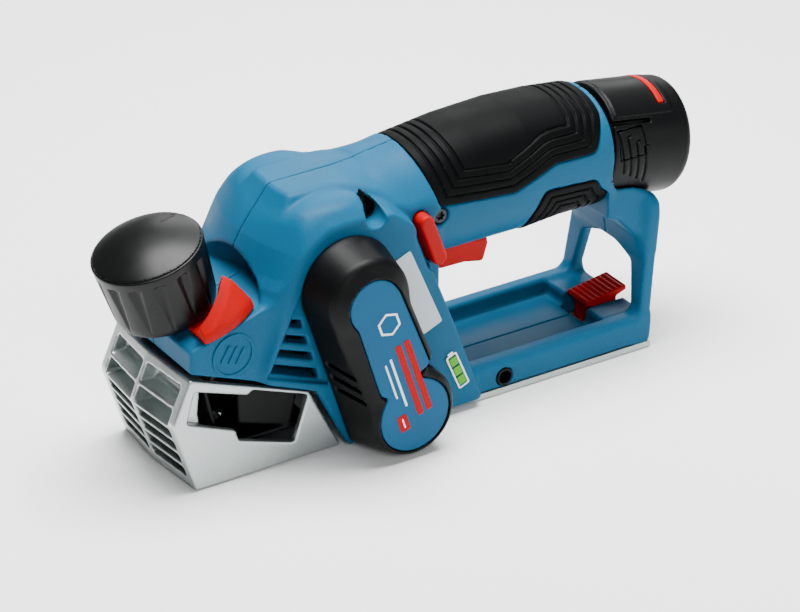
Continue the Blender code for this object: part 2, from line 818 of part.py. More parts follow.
def lock_outline(grow):
    """A slanted pill round the lock-off button's two centres."""
    top, bottom = Vector((104.4, 87.3)), Vector((110.3, 71.0))
    heading = math.degrees(math.atan2((top - bottom).y, (top - bottom).x))
    radius = 3.1 + grow
    upper = circle(top, radius, heading - 90, heading + 90, 8)
    lower = circle(bottom, radius, heading + 90, heading + 270, 8)
    return upper + lower


def lock_button(name, sign):
    low, high = sorted((sign * 21.5, sign * 32.2))
    return side_plate(name, lock_outline(0.0), low, high, "red_plastic")


def trigger():
    side = (
        (121.0, 57.0),
        (120.6, 53.0),
        (126.0, 51.2),
        (136.8, 51.0),
        (145.9, 49.0),
        (148.3, 57.0),
        (147.6, 60.2),
        (127.0, 63.2),
        (121.0, 63.2),
    )
    piece = side_plate("trigger", round_corners(side, 1.5, 2), -8.2, 8.2, "red_plastic")
    x, z = TRIGGER_PIN
    return cut(piece, rod("pin_hole", (x, -20, z), (x, 20, z), 1.3, None, 12))


def parking_rest():
    """A red thumb tab on top and a foot that swings down through the sole."""
    side = (
        (197.5, 14.8),
        (217.5, 18.0),
        (218.0, 15.4),
        (212.8, 13.6),
        (213.2, 5.6),
        (204.6, 5.2),
        (204.0, 0.7),
        (199.2, 0.7),
        (199.6, 12.2),
        (197.8, 12.6),
    )
    rest = side_plate("parking_rest", side, -7.2, 7.2, "red_plastic")
    x, z = REST_PIN
    return cut(rest, rod("pin_hole", (x, -20, z), (x, 20, z), 1.5, None, 12))


# ---------------------------------------------------------------- battery pack


def battery_case():
    case = rod("battery_case", PACK_FRONT, pack_point(PACK_LENGTH), PACK_RADIUS, "black_plastic", 40)
    edges = case.modifiers.new("edges", "BEVEL")
    edges.width = 1.6 * MM
    edges.segments = 2
    mesh = evaluated_mesh(case)
    case.modifiers.clear()
    case.data = mesh
    join(case, rod("stem", stem_point(STEM_LENGTH), stem_point(-8.0), STEM_RADIUS, None, 32))
    cut(case, rod("cell_room", stem_point(STEM_LENGTH + 5), stem_point(0.0), STEM_RADIUS - 1.2, None, 32))
    for sign in (-1, 1):
        low, high = sorted((sign * 18.8, sign * 40.0))
        cut(case, box("release_way", (200.4, low, 85.6), (213.6, high, 97.4)))
    cut(case, band_form("band_seat", 0.3, 10.0))
    return case


def band_form(name, grow, out, slot=None):
    """An arc across the top of the pack near its rear end."""
    inner, outer = PACK_RADIUS - 0.9 - grow, PACK_RADIUS + out
    ring = tube(name, pack_point(25.0 - grow), pack_point(28.0 + grow), inner, outer, slot, 40)
    top = box("band_limit", (190.0, -14.0 - grow, 84.0), (260.0, 14.0 + grow, 130.0))
    return keep(ring, top)


def battery_cells():
    cells = []
    for k in range(3):
        angle = math.radians(90 + 120 * k)
        side = 9.75 * math.cos(angle)
        up = 9.75 * math.sin(angle)
        ends = []
        for distance in (STEM_LENGTH - 2.4, 0.6):
            x, y, z = stem_point(distance)
            ends.append((x + up * math.sin(STEM_SLOPE), y + side, z + up * math.cos(STEM_SLOPE)))
        cells.append(rod(f"battery_cell_{k + 1}", ends[0], ends[1], 8.3, "cell_wrap", 20))
    return cells


def battery_cap():
    front = stem_point(STEM_LENGTH + 3.0)
    cap = rod("battery_cap", front, stem_point(STEM_LENGTH + GAP), STEM_RADIUS - 0.4, "black_plastic", 32)
    plug_ends = (stem_point(STEM_LENGTH + 1.0), stem_point(STEM_LENGTH - 2.0))
    return join(cap, rod("plug", *plug_ends, STEM_RADIUS - 1.6, None, 32))


def release_button(name, sign):
    low, high = sorted((sign * 20.9, sign * 24.6))
    return box(name, (200.8, low, 86.0), (213.2, high, 97.0), "black_plastic", 0.5)


# ---------------------------------------------------------------- small fixed pieces


def screws():
    made = []
    for name, (x, z), depth in SCREW_SEATS:
        head = rod(name, (x, depth - 2.6, z), (x, depth - GAP, z), 3.2, "machined_steel", 20)
        join(head, rod("shank", (x, depth - 1.0, z), (x, 10.0, z), 1.5, None, 12))
        cut(head, rod("drive", (x, depth - 5.0, z), (x, depth - 1.6, z), 1.5, None, 6))
        made.append(head)
    return made


SOLE_SCREWS = ((112.0, -20.0), (112.0, 20.0), (190.0, -24.3), (190.0, 24.3))


def rear_sole():
    side = (
        (92.5, 0.0),
        (SOLE_LENGTH, 0.0),
        (SOLE_LENGTH, SOLE_THICKNESS),
        (101.0, SOLE_THICKNESS),
        (98.0, SOLE_THICKNESS - 0.4),
    )
    sole = side_plate("rear_sole", side, -SOLE_HALF_WIDTH, SOLE_HALF_WIDTH, "cast_aluminium")
    cut(sole, box("foot_slot", (198.0, -8.0, -5.0), (209.5, 8.0, 10.0)))
    for x, y in SOLE_SCREWS:
        cut(sole, rod("countersink", (x, y, -1.0), (x, y, 1.6), 4.2, None, 16, 2.0))
        cut(sole, rod("hole", (x, y, -1.0), (x, y, 5.0), 1.9, None, 12))
    return sole


def sole_screws():
    made = []
    for k, (x, y) in enumerate(SOLE_SCREWS):
        head = rod(f"sole_screw_{k + 1}", (x, y, 0.3), (x, y, 1.4), 2.8, "machined_steel", 16, 1.5)
        made.append(join(head, rod("shank", (x, y, 1.0), (x, y, 2.5), 1.5, None, 12)))
    return made


def strip_plate():
    return slanted_tile("strip_plate", (100.3, 59.2), 40.5, 10.5, -33.9, -33.3, "pale_plate")


def battery_gauge():
    return slanted_tile("battery_gauge", (120.2, 16.3), 18.6, 6.4, -33.9, -33.3, "gauge_lens")


def slanted_tile(name, centre, length, width, y_low, y_high, slot):
    """A flat tile that leans like the rear edge of the side plate."""
    lean = math.radians(20.4)
    up = Vector((-math.sin(lean), math.cos(lean)))
    across = Vector((math.cos(lean), math.sin(lean)))
    corners = []
    for a, b in ((-1, -1), (1, -1), (1, 1), (-1, 1)):
        corners.append(tuple(Vector(centre) + across * (a * width / 2) + up * (b * length / 2)))
    return side_plate(name, round_corners(corners, 0.8, 2), y_low, y_high, slot)


def guide_socket(name, sign):
    return tube(name, (142.7, sign * 17.0, 6.9), (142.7, sign * 29.0, 6.9), 2.9, 3.65, "black_plastic", 20)


def inner_pieces():
    board = box("control_board", (86.0, -18.0, 96.5), (116.0, 18.0, 98.1), "board_green")
    switch = box("switch_body", (124.0, -8.0, 64.4), (148.0, 8.0, 68.8), "black_plastic", 0.6)
    block_front = stem_point(STEM_LENGTH + 9.0)
    block = rod("terminal_block", block_front, stem_point(STEM_LENGTH + 4.0), 12.0, "black_plastic", 24)
    pins = []
    for name, (x, z), radius in (("trigger_pin", TRIGGER_PIN, 1.0), ("rest_pin", REST_PIN, 1.2)):
        pins.append(rod(name, (x, -PIN_REACH, z), (x, PIN_REACH, z), radius, "machined_steel", 12))
    return board, switch, block, *pins


def build():
    housing_halves()
    belt_cover()
    cover_panel()
    drive_belt()
    front = front_shoe()
    carried("shoe_slide", on_knob(0, 0, -57), [front])
    chip_chute()
    carried("knob_axis", KNOB_BASE, [depth_knob(), knob_cap(), depth_spindle()])
    carried("selector_axis", KNOB_BASE, [selector_lever(), chip_deflector()])
    _, spinning = motor_pieces()
    carried("motor_axis", (MOTOR_AXIS[0], 0, MOTOR_AXIS[1]), spinning)
    carried("drum_axis", (DRUM_AXIS[0], 0, DRUM_AXIS[1]), drum_pieces())
    for name, axis, bore in (("motor", MOTOR_AXIS, 2.8), ("drum", DRUM_AXIS, 4.3)):
        bearing(name + "_bearing_left", axis, -32.6, bore)
        bearing(name + "_bearing_right", axis, 28.9, bore)
    pad("grip_pad_top", PAD_TOP, "grip_rubber")
    pad("grip_pad_lower", PAD_LOWER, "grip_rubber")
    carried("trigger_axis", (TRIGGER_PIN[0], 0, TRIGGER_PIN[1]), [trigger()])
    carried("left_button_slide", (107.3, -27, 79), [lock_button("lock_button_left", -1)])
    carried("right_button_slide", (107.3, 27, 79), [lock_button("lock_button_right", 1)])
    carried("rest_axis", (REST_PIN[0], 0, REST_PIN[1]), [parking_rest()])
    band = band_form("battery_band", 0.0, 0.1, "red_plastic")
    pack = [battery_case(), battery_cap(), band, *battery_cells()]
    carried("pack_slide", STEM_START, pack)
    carried("left_release_slide", (207, -23, 91), [release_button("release_button_left", -1)])
    carried("right_release_slide", (207, 23, 91), [release_button("release_button_right", 1)])
    screws()
    rear_sole()
    sole_screws()
    strip_plate()
    battery_gauge()
    guide_socket("guide_socket_left", -1)
    guide_socket("guide_socket_right", 1)
    inner_pieces()


clear_scene()
PARTS = new_collection("hand_planer")
GUIDES = new_collection("guides")
build()
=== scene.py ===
"""The looks of the cordless hand planer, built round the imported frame.

Every form is a distance field in millimetres (negative inside), so that every edge and meeting gets a
true fillet, and is skinned with a fine quad mesh. Nodes that nothing replaces keep the frame's mesh.
x runs from the shoe's lower front corner towards the battery, y to the planer's right and z up from the
sole; DATUM takes these millimetres into the frame."""

import functools
import json
import math

import bpy
import numpy as np
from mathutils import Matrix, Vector


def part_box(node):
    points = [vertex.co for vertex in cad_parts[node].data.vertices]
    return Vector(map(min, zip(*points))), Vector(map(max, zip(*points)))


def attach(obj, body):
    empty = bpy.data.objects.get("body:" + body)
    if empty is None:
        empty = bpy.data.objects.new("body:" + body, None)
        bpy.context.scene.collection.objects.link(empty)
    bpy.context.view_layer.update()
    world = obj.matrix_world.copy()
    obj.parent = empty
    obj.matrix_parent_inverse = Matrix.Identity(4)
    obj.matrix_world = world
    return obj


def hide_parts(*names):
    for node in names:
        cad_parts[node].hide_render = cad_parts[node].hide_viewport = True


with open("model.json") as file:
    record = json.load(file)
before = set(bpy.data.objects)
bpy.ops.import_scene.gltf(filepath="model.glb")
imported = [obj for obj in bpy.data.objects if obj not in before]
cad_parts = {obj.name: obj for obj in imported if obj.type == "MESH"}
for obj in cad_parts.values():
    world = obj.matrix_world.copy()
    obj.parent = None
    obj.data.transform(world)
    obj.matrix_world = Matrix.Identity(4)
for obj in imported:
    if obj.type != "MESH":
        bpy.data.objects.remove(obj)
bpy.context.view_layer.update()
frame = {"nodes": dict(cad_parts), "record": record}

MM = 0.001
SOLE_LENGTH = 214.6
SOLE_LOW, SOLE_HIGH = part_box("rear_sole")
DATUM = Vector((SOLE_HIGH.x - SOLE_LENGTH * MM, (SOLE_LOW.y + SOLE_HIGH.y) / 2, SOLE_LOW.z))

CAMERA_AZIMUTH = -32.5
CAMERA_ELEVATION = 28.5
CAMERA_LENS = 171
CAMERA_PLACE = (-606.22, -1125.94, 760.16)  # millimetres from the datum

# Lights, in metres and watts: name, place, the point it faces, size and power.
LIGHTS = (
    ("top", (0.05, 0.1, 1), (0, 0, 0.05), (0.8, 0.6), 40),
    ("back", (0.6, 0.85, 0.55), (0, 0, 0.05), (0.7, 0.4), 5),
    ("key", (-0.4, -1, 0.75), (0, 0, 0.05), (0.4, 0.4), 4.5),
    ("side", (0.55, -0.9, 0.35), (0, 0, 0.06), (0.6, 0.4), 3),
)
WORLD_STRENGTH = 0.17
FLOOR_SIZE = 8
FLOOR_DROP = 0.0006  # under the sole, so that the two never share a plane


# ---- camera, light and floor


def add_object(name, data):
    item = bpy.data.objects.new(name, data)
    bpy.context.scene.collection.objects.link(item)
    return item


def make_camera():
    data = bpy.data.cameras.new("camera")
    data.lens = CAMERA_LENS
    data.sensor_width = 36
    data.clip_start, data.clip_end = 0.05, 20
    camera = add_object("camera", data)
    a, e = math.radians(CAMERA_AZIMUTH), math.radians(CAMERA_ELEVATION)
    back = Vector((math.sin(a) * math.cos(e), -math.cos(a) * math.cos(e), math.sin(e)))
    camera.location = DATUM + Vector(CAMERA_PLACE) * MM
    camera.rotation_mode = "QUATERNION"
    camera.rotation_quaternion = (-back).to_track_quat("-Z", "Y")
    bpy.context.scene.camera = camera


def area_light(name, place, target, size, power):
    data = bpy.data.lights.new(name, "AREA")
    data.shape = "RECTANGLE"
    data.size, data.size_y = size
    data.energy = power
    light = add_object(name, data)
    light.location = place
    light.rotation_mode = "QUATERNION"
    light.rotation_quaternion = (Vector(target) - Vector(place)).to_track_quat("-Z", "Y")


def make_studio():
    world = bpy.data.worlds.new("studio")
    bpy.context.scene.world = world
    world.use_nodes = True
    shade = world.node_tree.nodes["Background"]
    put(shade, "Color", (1, 1, 1, 1))
    put(shade, "Strength", WORLD_STRENGTH)
    for light in LIGHTS:
        area_light(*light)
    bpy.ops.mesh.primitive_plane_add(size=FLOOR_SIZE, location=(0, 0, -FLOOR_DROP))
    floor = bpy.context.object
    floor.name = "floor"
    paper, _, _, shader = new_finish("floor_paper")
    put(shader, "Base Color", (0.93, 0.93, 0.93, 1))
    put(shader, "Roughness", 0.9)
    floor.data.materials.append(paper)


# ---- materials

CLOUD_MM = 22  # size of the large, faint patches in a moulded surface
CLOUD_RANGE = (0.3, 0.7)
MOULDED_DEPTH = 0.00006
MACHINED_DEPTH = 0.00004


def put(node, name, value):
    node.inputs[name].default_value = value


def new_finish(name):
    finish = bpy.data.materials.new(name)
    finish.use_nodes = True
    nodes = finish.node_tree.nodes
    return finish, nodes, finish.node_tree.links, nodes["Principled BSDF"]


def noise(nodes, links, place, scale, detail):
    """The grey value of a noise texture at a place."""
    texture = nodes.new("ShaderNodeTexNoise")
    put(texture, "Scale", scale)
    put(texture, "Detail", detail)
    links.new(place, texture.inputs["Vector"])
    return texture.outputs["Fac"]


def mapped(nodes, links, value, from_range, to_range):
    """A value taken from one range into another."""
    change = nodes.new("ShaderNodeMapRange")
    for name, ends in (("From", from_range), ("To", to_range)):
        put(change, name + " Min", ends[0])
        put(change, name + " Max", ends[1])
    links.new(value, change.inputs["Value"])
    return change.outputs["Result"]


def two_tone(nodes, links, value, positions, colours):
    """A ramp between two colours."""
    ramp = nodes.new("ShaderNodeValToRGB")
    for element, position, colour in zip(ramp.color_ramp.elements, positions, colours):
        element.position = position
        element.color = (*colour, 1)
    links.new(value, ramp.inputs["Fac"])
    return ramp.outputs["Color"]


def add_relief(nodes, links, shader, value, strength, depth):
    relief = nodes.new("ShaderNodeBump")
    put(relief, "Strength", strength)
    put(relief, "Distance", depth)
    links.new(value, relief.inputs["Height"])
    links.new(relief.outputs["Normal"], shader.inputs["Normal"])


def moulded_finish(name, colours, roughness, grain_mm, bump, metallic=0, coat=0, wear_and_edge_highlight=None, gleam=0.34):
    """Moulded plastic, rubber, ink or cast metal: a speckle of two colours, uneven gloss, a fine grain
    and, where an edge colour is given, convex edges lightened towards it: rubbed wear and a painted
    highlight."""
    finish, nodes, links, shader = new_finish(name)
    put(shader, "Metallic", metallic)
    if not metallic:
        put(shader, "Specular IOR Level", gleam)
    put(shader, "Coat Weight", coat)
    put(shader, "Coat Roughness", 0.25)
    place = nodes.new("ShaderNodeTexCoord").outputs["Object"]
    grain = noise(nodes, links, place, 1 / (grain_mm * MM), 3)
    cloud = noise(nodes, links, place, 1 / (CLOUD_MM * MM), 4)

    tone = nodes.new("ShaderNodeMix")
    tone.data_type = "RGBA"
    tone.blend_type = "MULTIPLY"
    put(tone, "Factor", 1)
    links.new(two_tone(nodes, links, grain, (0.38, 0.66), colours), tone.inputs["A"])
    links.new(mapped(nodes, links, cloud, CLOUD_RANGE, (0.93, 1.05)), tone.inputs["B"])
    colour = tone.outputs["Result"]
    # Painted highlight and wear: convex edges, found by pointiness, are lightened towards the edge
    # colour. This stands in for rubbed wear and for the light that catches the edges.
    if wear_and_edge_highlight:
        pointed = nodes.new("ShaderNodeNewGeometry").outputs["Pointiness"]
        rub_and_highlight = nodes.new("ShaderNodeMix")
        rub_and_highlight.data_type = "RGBA"
        put(rub_and_highlight, "B", (*wear_and_edge_highlight, 1))
        links.new(mapped(nodes, links, pointed, (0.56, 0.72), (0, 0.5)), rub_and_highlight.inputs["Factor"])
        links.new(colour, rub_and_highlight.inputs["A"])
        colour = rub_and_highlight.outputs["Result"]
    links.new(colour, shader.inputs["Base Color"])

    gloss = mapped(nodes, links, cloud, CLOUD_RANGE, (roughness - 0.05, roughness + 0.07))
    links.new(gloss, shader.inputs["Roughness"])
    add_relief(nodes, links, shader, grain, bump, MOULDED_DEPTH)
    return finish


def machined_finish(name, colour, roughness, lines_mm, along):
    """Ground or milled metal with fine parallel tool marks; along is the axis they run across."""
    finish, nodes, links, shader = new_finish(name)
    put(shader, "Metallic", 1)
    stretch = nodes.new("ShaderNodeMapping")
    scale = [30, 30, 30]
    scale[along] = 1 / (lines_mm * MM)
    put(stretch, "Scale", scale)
    place = nodes.new("ShaderNodeTexCoord")
    links.new(place.outputs["Object"], stretch.inputs["Vector"])
    marks = noise(nodes, links, stretch.outputs["Vector"], 1, 4)
    shaded = [c * 0.8 for c in colour]
    links.new(two_tone(nodes, links, marks, (0.3, 0.7), (shaded, colour)), shader.inputs["Base Color"])
    gloss = mapped(nodes, links, marks, (0, 1), (roughness - 0.06, roughness + 0.1))
    links.new(gloss, shader.inputs["Roughness"])
    add_relief(nodes, links, shader, marks, 0.175, MACHINED_DEPTH)
    return finish


# Colours of the speckle, roughness, grain in mm, bump, and what differs from a plain moulding.
# Where given, the edge colour lightens convex edges: rubbed wear and a painted highlight.
MOULDED = {
    "blue_moulding": (
        ((0.0035, 0.07, 0.145), (0.0055, 0.092, 0.185)), 0.46, 0.33, 0.5,
        {"gleam": 0.09, "wear_and_edge_highlight": (0.025, 0.15, 0.27)},
    ),
    "panel_moulding": (((0.003, 0.07, 0.16), (0.004, 0.08, 0.18)), 0.45, 0.2, 0.25, {"gleam": 0.1}),
    "black_moulding": (
        ((0.0008, 0.001, 0.0011), (0.0018, 0.0023, 0.0025)), 0.42, 0.3, 0.45,
        {"gleam": 0.11, "wear_and_edge_highlight": (0.012, 0.014, 0.014)},
    ),
    "knob_moulding": (
        ((0.0008, 0.001, 0.0011), (0.0016, 0.0021, 0.0022)), 0.36, 0.25, 0.25,
        {"gleam": 0.2, "wear_and_edge_highlight": (0.02, 0.022, 0.022)},
    ),
    "grip_rubber": (
        ((0.001, 0.0014, 0.0015), (0.0012, 0.0016, 0.0017)), 0.5, 0.22, 0.4,
        {"gleam": 0.05, "wear_and_edge_highlight": (0.03, 0.036, 0.036)},
    ),
    "red_moulding": (
        ((0.3, 0, 0.0008), (0.36, 0.0002, 0.0012)), 0.38, 0.3, 0.3,
        {"gleam": 0.08, "wear_and_edge_highlight": (0.55, 0.004, 0.006)},
    ),
    "cast_aluminium": (
        ((0.36, 0.405, 0.395), (0.46, 0.505, 0.495)), 0.34, 0.5, 0.5,
        {"metallic": 0.9, "wear_and_edge_highlight": (0.7, 0.72, 0.71)},
    ),
    "pale_plate": (((0.42, 0.47, 0.49), (0.47, 0.52, 0.54)), 0.38, 0.2, 0.15, {}),
    "white_ink": (((0.74, 0.78, 0.8), (0.8, 0.83, 0.84)), 0.5, 0.2, 0.1, {}),
    "red_ink": (((0.34, 0.0002, 0.002), (0.4, 0.0004, 0.003)), 0.5, 0.2, 0.1, {"gleam": 0.05}),
    "gauge_green": (((0.07, 0.33, 0.015), (0.09, 0.38, 0.02)), 0.4, 0.3, 0.05, {"gleam": 0.1}),
    "copper_winding": (((0.42, 0.15, 0.05), (0.60, 0.25, 0.1)), 0.4, 1.2, 0.6, {"metallic": 0.9}),
    "circuit_board": (((0.01, 0.10, 0.045), (0.02, 0.15, 0.07)), 0.4, 1, 0.4, {"coat": 0.4}),
    "cell_wrap": (((0.05, 0.22, 0.16), (0.07, 0.28, 0.2)), 0.3, 1, 0.15, {"coat": 0.3}),
}
# Colour, roughness, spacing of the tool marks in mm, and the axis they run across.
MACHINED = {
    "turned_steel": ((0.62, 0.62, 0.62), 0.28, 0.3, 0),
    "dark_screw": ((0.035, 0.036, 0.038), 0.32, 0.4, 2),
}


SLOT_FINISH = {
    "blue_plastic": "blue_moulding",
    "black_plastic": "black_moulding",
    "grip_rubber": "grip_rubber",
    "red_plastic": "red_moulding",
    "cast_aluminium": "cast_aluminium",
    "machined_steel": "turned_steel",
    "pale_plate": "pale_plate",
    "gauge_lens": "gauge_green",
    "copper_winding": "copper_winding",
    "board_green": "circuit_board",
    "cell_wrap": "cell_wrap",
}


def make_finishes():
    made = {}
    for name, (colours, roughness, grain_mm, bump, extras) in MOULDED.items():
        made[name] = moulded_finish(name, colours, roughness, grain_mm, bump, **extras)
    for name, settings in MACHINED.items():
        made[name] = machined_finish(name, *settings)
    return made


# ---- distance fields


class Grid:
    """Sample points in millimetres. x, y and z broadcast against each other."""

    def __init__(self, low, high, step):
        self.low, self.step = np.array(low, np.float32), step
        counts = [int(math.ceil((b - a) / step)) + 1 for a, b in zip(low, high)]
        ax = [low[i] + step * np.arange(counts[i], dtype=np.float32) for i in range(3)]
        self.x, self.y, self.z = np.meshgrid(*ax, indexing="ij", sparse=True)


def meet(a, b, radius):
    """The part in both forms, with the edge between them rounded."""
    if radius <= 0:
        return np.maximum(a, b)
    corner = np.hypot(np.maximum(a + radius, 0), np.maximum(b + radius, 0))
    return np.minimum(-radius, np.maximum(a, b)) + corner


def blend(a, b, radius):
    """Both forms, with a fillet where they meet."""
    return -meet(-a, -b, radius)


def without(a, b, radius=0):
    """The first form less the second, with a rounded rim."""
    return meet(a, -b, radius)


def union(fields):
    """All the forms together, with sharp meetings."""
    return functools.reduce(np.minimum, fields)


def corner_arcs(points, radius, steps=5):
    """The outline with each corner turned into an arc."""
    out = []
    count = len(points)
    for i, point in enumerate(points):
        here = Vector(point)
        before = Vector(points[i - 1]) - here
        after = Vector(points[(i + 1) % count]) - here
        half = before.angle(after) / 2
        reach = min(radius / math.tan(half), 0.45 * before.length, 0.45 * after.length)
        start = here + before.normalized() * reach
        end = here + after.normalized() * reach
        for k in range(steps + 1):
            t = k / steps
            out.append(tuple((1 - t) ** 2 * start + 2 * t * (1 - t) * here + t**2 * end))
    return out


def outline_field(u, v, points):
    """Signed distance in a plane to a closed outline."""
    u, v = np.broadcast_arrays(u, v)
    nearest = np.full(u.shape, 1e9, np.float32)
    inside = np.zeros(u.shape, bool)
    for (ax, ay), (bx, by) in zip(points, points[1:] + points[:1]):
        ex, ey = bx - ax, by - ay
        wx, wy = u - ax, v - ay
        t = np.clip((wx * ex + wy * ey) / (ex * ex + ey * ey + 1e-12), 0, 1)
        nearest = np.minimum(nearest, (wx - ex * t) ** 2 + (wy - ey * t) ** 2)
        if ay != by:
            crosses = (ay > v) != (by > v)
            inside ^= crosses & (u < (bx - ax) * (v - ay) / (by - ay) + ax)
    distance = np.sqrt(nearest)
    return np.where(inside, -distance, distance).astype(np.float32)


def side_field(g, points, radius=0):
    """An outline in x and z, endless along y."""
    rounded = corner_arcs(points, radius) if radius else list(points)
    flat = outline_field(g.x[:, 0, :], g.z[0, 0, :][None, :], rounded)
    return flat[:, None, :]


def span(v, low, high):
    """An endless slab between two values."""
    return np.abs(v - (low + high) / 2) - (high - low) / 2


def round_bar(g, centre, radius):
    """An endless round bar along y through a centre in x and z."""
    return np.hypot(g.x - centre[0], g.z - centre[1]) - radius


def block(g, low, high, radius):
    sides = meet(span(g.x, low[0], high[0]), span(g.y, low[1], high[1]), radius)
    return meet(sides, span(g.z, low[2], high[2]), radius)


def slanted_bar(g, start, direction, radius):
    """An endless round bar along a direction, and the distance along it."""
    d = np.array(direction, np.float32) / np.linalg.norm(direction)
    px, py, pz = g.x - start[0], g.y - start[1], g.z - start[2]
    along = px * d[0] + py * d[1] + pz * d[2]
    away = np.sqrt(np.maximum((px**2 + py**2 + pz**2) - along**2, 0))
    return away - radius, along


def segment_field(g, a, b, radius):
    """A round-ended bar in x and z from a to b, endless along y."""
    ex, ez = b[0] - a[0], b[1] - a[1]
    t = np.clip(((g.x - a[0]) * ex + (g.z - a[1]) * ez) / (ex * ex + ez * ez), 0, 1)
    return np.hypot(g.x - a[0] - ex * t, g.z - a[1] - ez * t) - radius


CORNERS = [(b & 1, b >> 1 & 1, b >> 2 & 1) for b in range(8)]  # of one cell


def skin(name, field, g, finish):
    """A quad mesh on the zero surface of a field, one vertex in each cell that it crosses."""
    field = np.ascontiguousarray(field, np.float32)
    inside = field < 0
    n = [s - 1 for s in field.shape]
    total = sum(inside[i : i + n[0], j : j + n[1], k : k + n[2]].astype(np.int8) for i, j, k in CORNERS)
    cells = np.nonzero((total > 0) & (total < 8))
    base = np.stack(cells, 1)
    value = [field[cells[0] + i, cells[1] + j, cells[2] + k] for i, j, k in CORNERS]
    gathered = np.zeros((len(base), 3), np.float32)
    weight = np.zeros(len(base), np.float32)
    for a in range(8):
        for axis in range(3):
            b = a | 1 << axis
            if b == a:
                continue
            crossed = (value[a] < 0) != (value[b] < 0)
            t = value[a] / np.where(crossed, value[a] - value[b], 1)
            point = np.tile(np.array(CORNERS[a], np.float32), (len(base), 1))
            point[:, axis] += t
            gathered += point * crossed[:, None]
            weight += crossed
    inner = settle(value, gathered / weight[:, None])
    points = g.low + (base + inner) * g.step
    index = np.full(n, -1, np.int32)
    index[cells] = np.arange(len(base), dtype=np.int32)
    quads = []
    for axis in range(3):
        u, v = (axis + 1) % 3, (axis + 2) % 3
        edges = np.stack(np.nonzero(np.diff(inside, axis=axis)), 1)
        keep = (edges[:, u] > 0) & (edges[:, v] > 0) & (edges[:, u] < n[u]) & (edges[:, v] < n[v])
        edges = edges[keep]
        outward = inside[tuple(edges.T)]
        ring = []
        for du, dv in ((1, 1), (0, 1), (0, 0), (1, 0)):
            cell = edges.copy()
            cell[:, u] -= du
            cell[:, v] -= dv
            ring.append(index[tuple(cell.T)])
        ring = np.stack(ring, 1)
        ring[~outward] = ring[~outward][:, ::-1]
        quads.append(ring)
    return mesh_piece(name, points, np.concatenate(quads), finish)


def settle(value, inner):
    """Moves each vertex inside its cell onto the surface, along the field's slope there."""
    for _ in range(3):
        x, y, z = inner[:, 0], inner[:, 1], inner[:, 2]
        here = np.zeros(len(inner), np.float32)
        slope = np.zeros_like(inner)
        for (i, j, k), held in zip(CORNERS, value):
            wx, wy, wz = (x if i else 1 - x), (y if j else 1 - y), (z if k else 1 - z)
            here += held * wx * wy * wz
            slope[:, 0] += held * (1 if i else -1) * wy * wz
            slope[:, 1] += held * (1 if j else -1) * wx * wz
            slope[:, 2] += held * (1 if k else -1) * wx * wy
        steep = np.maximum((slope**2).sum(1), 1e-6)
        move = -(here / steep)[:, None] * slope
        inner = np.clip(inner + np.clip(move, -0.5, 0.5), 0.02, 0.98)
    return inner


def mesh_piece(name, points, faces, finish):
    """A smooth mesh object from points in millimetres and quads."""
    points = np.asarray(points, np.float64) * MM + np.array(DATUM)
    mesh = bpy.data.meshes.new(name)
    mesh.vertices.add(len(points))
    mesh.vertices.foreach_set("co", points.astype(np.float32).ravel())
    mesh.loops.add(faces.size)
    mesh.loops.foreach_set("vertex_index", faces.ravel())
    mesh.polygons.add(len(faces))
    mesh.polygons.foreach_set("loop_start", np.arange(len(faces), dtype=np.int32) * faces.shape[1])
    mesh.polygons.foreach_set("use_smooth", np.full(len(faces), True))
    mesh.update(calc_edges=True)
    mesh.validate()
    mesh.materials.append(finish)
    return add_object(name, mesh)


def make_piece(name, field, g, slot, *nodes, body="machine", finish=None):
    """A skinned piece that rides on a body, has a slot's finish and stands in for the nodes named."""
    item = skin(name, field, g, FINISH[finish or SLOT_FINISH[slot]])
    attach(item, body)
    if nodes:
        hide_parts(*nodes)


SIDES = (("left", -1), ("right", 1))  # with the sign of y


# ---- the knob's axis

KNOB_LEAN = math.radians(16.4)
KNOB_BASE = (5.5, 0, 65.5)


def knob_coordinates(g):
    """Distance from the knob's axis, turn in degrees from the rear towards the left, and height."""
    across, up = g.x - KNOB_BASE[0], g.z - KNOB_BASE[2]
    back = across * math.cos(KNOB_LEAN) + up * math.sin(KNOB_LEAN)
    height = up * math.cos(KNOB_LEAN) - across * math.sin(KNOB_LEAN)
    left = KNOB_BASE[1] - g.y + 0 * back
    return np.hypot(back, left), np.degrees(np.arctan2(left, back)), height


# ---- housing

MOTOR_AXIS = (67, 71)
DRUM_AXIS = (84.5, 19.5)
SLAB_HALF_WIDTH = 33
APRON_HALF_WIDTH = 29
CORE_HALF_WIDTH = 26.5
BASE_BOTTOM = 2.7

HANDLE_X = (92, 111, 134, 158, 177, 197.4)
HANDLE_CENTRE = (82, 85, 86.4, 86.9, 87.2, 86)
HANDLE_HALF_WIDTH = (23, 24.5, 25, 25.5, 25, 24.4)
HANDLE_HALF_HEIGHT = (24, 25, 26.4, 26.9, 25.7, 24.5)
HANDLE_SQUARENESS = 2.22  # 2 is an ellipse, and more is squarer
HANDLE_ENDS = (92, 197.4)

STEM_SLOPE = math.radians(4)
STEM_START = (198, 0, 85.5)
STEM_RADIUS = 19.6
STEM_WAY = (math.cos(STEM_SLOPE), 0, -math.sin(STEM_SLOPE))
PACK_SLOPE = math.radians(8.7)
PACK_FRONT = (197.8, 0, 85.9)
PACK_RADIUS = 24.4
PACK_WAY = (math.cos(PACK_SLOPE), 0, -math.sin(PACK_SLOPE))

PAD_TOP = (
    (104.6, 160), (108, 110), (113.4, 89.5), (148.6, 86.6), (168.6, 93.8), (188.6, 93.2),
    (194.8, 106), (194.8, 160),
)
PAD_LOWER = (
    (159, 40), (159, 71), (163.4, 83), (188.8, 81), (191.4, 76.2), (196, 72.4),
    (196, 40),
)


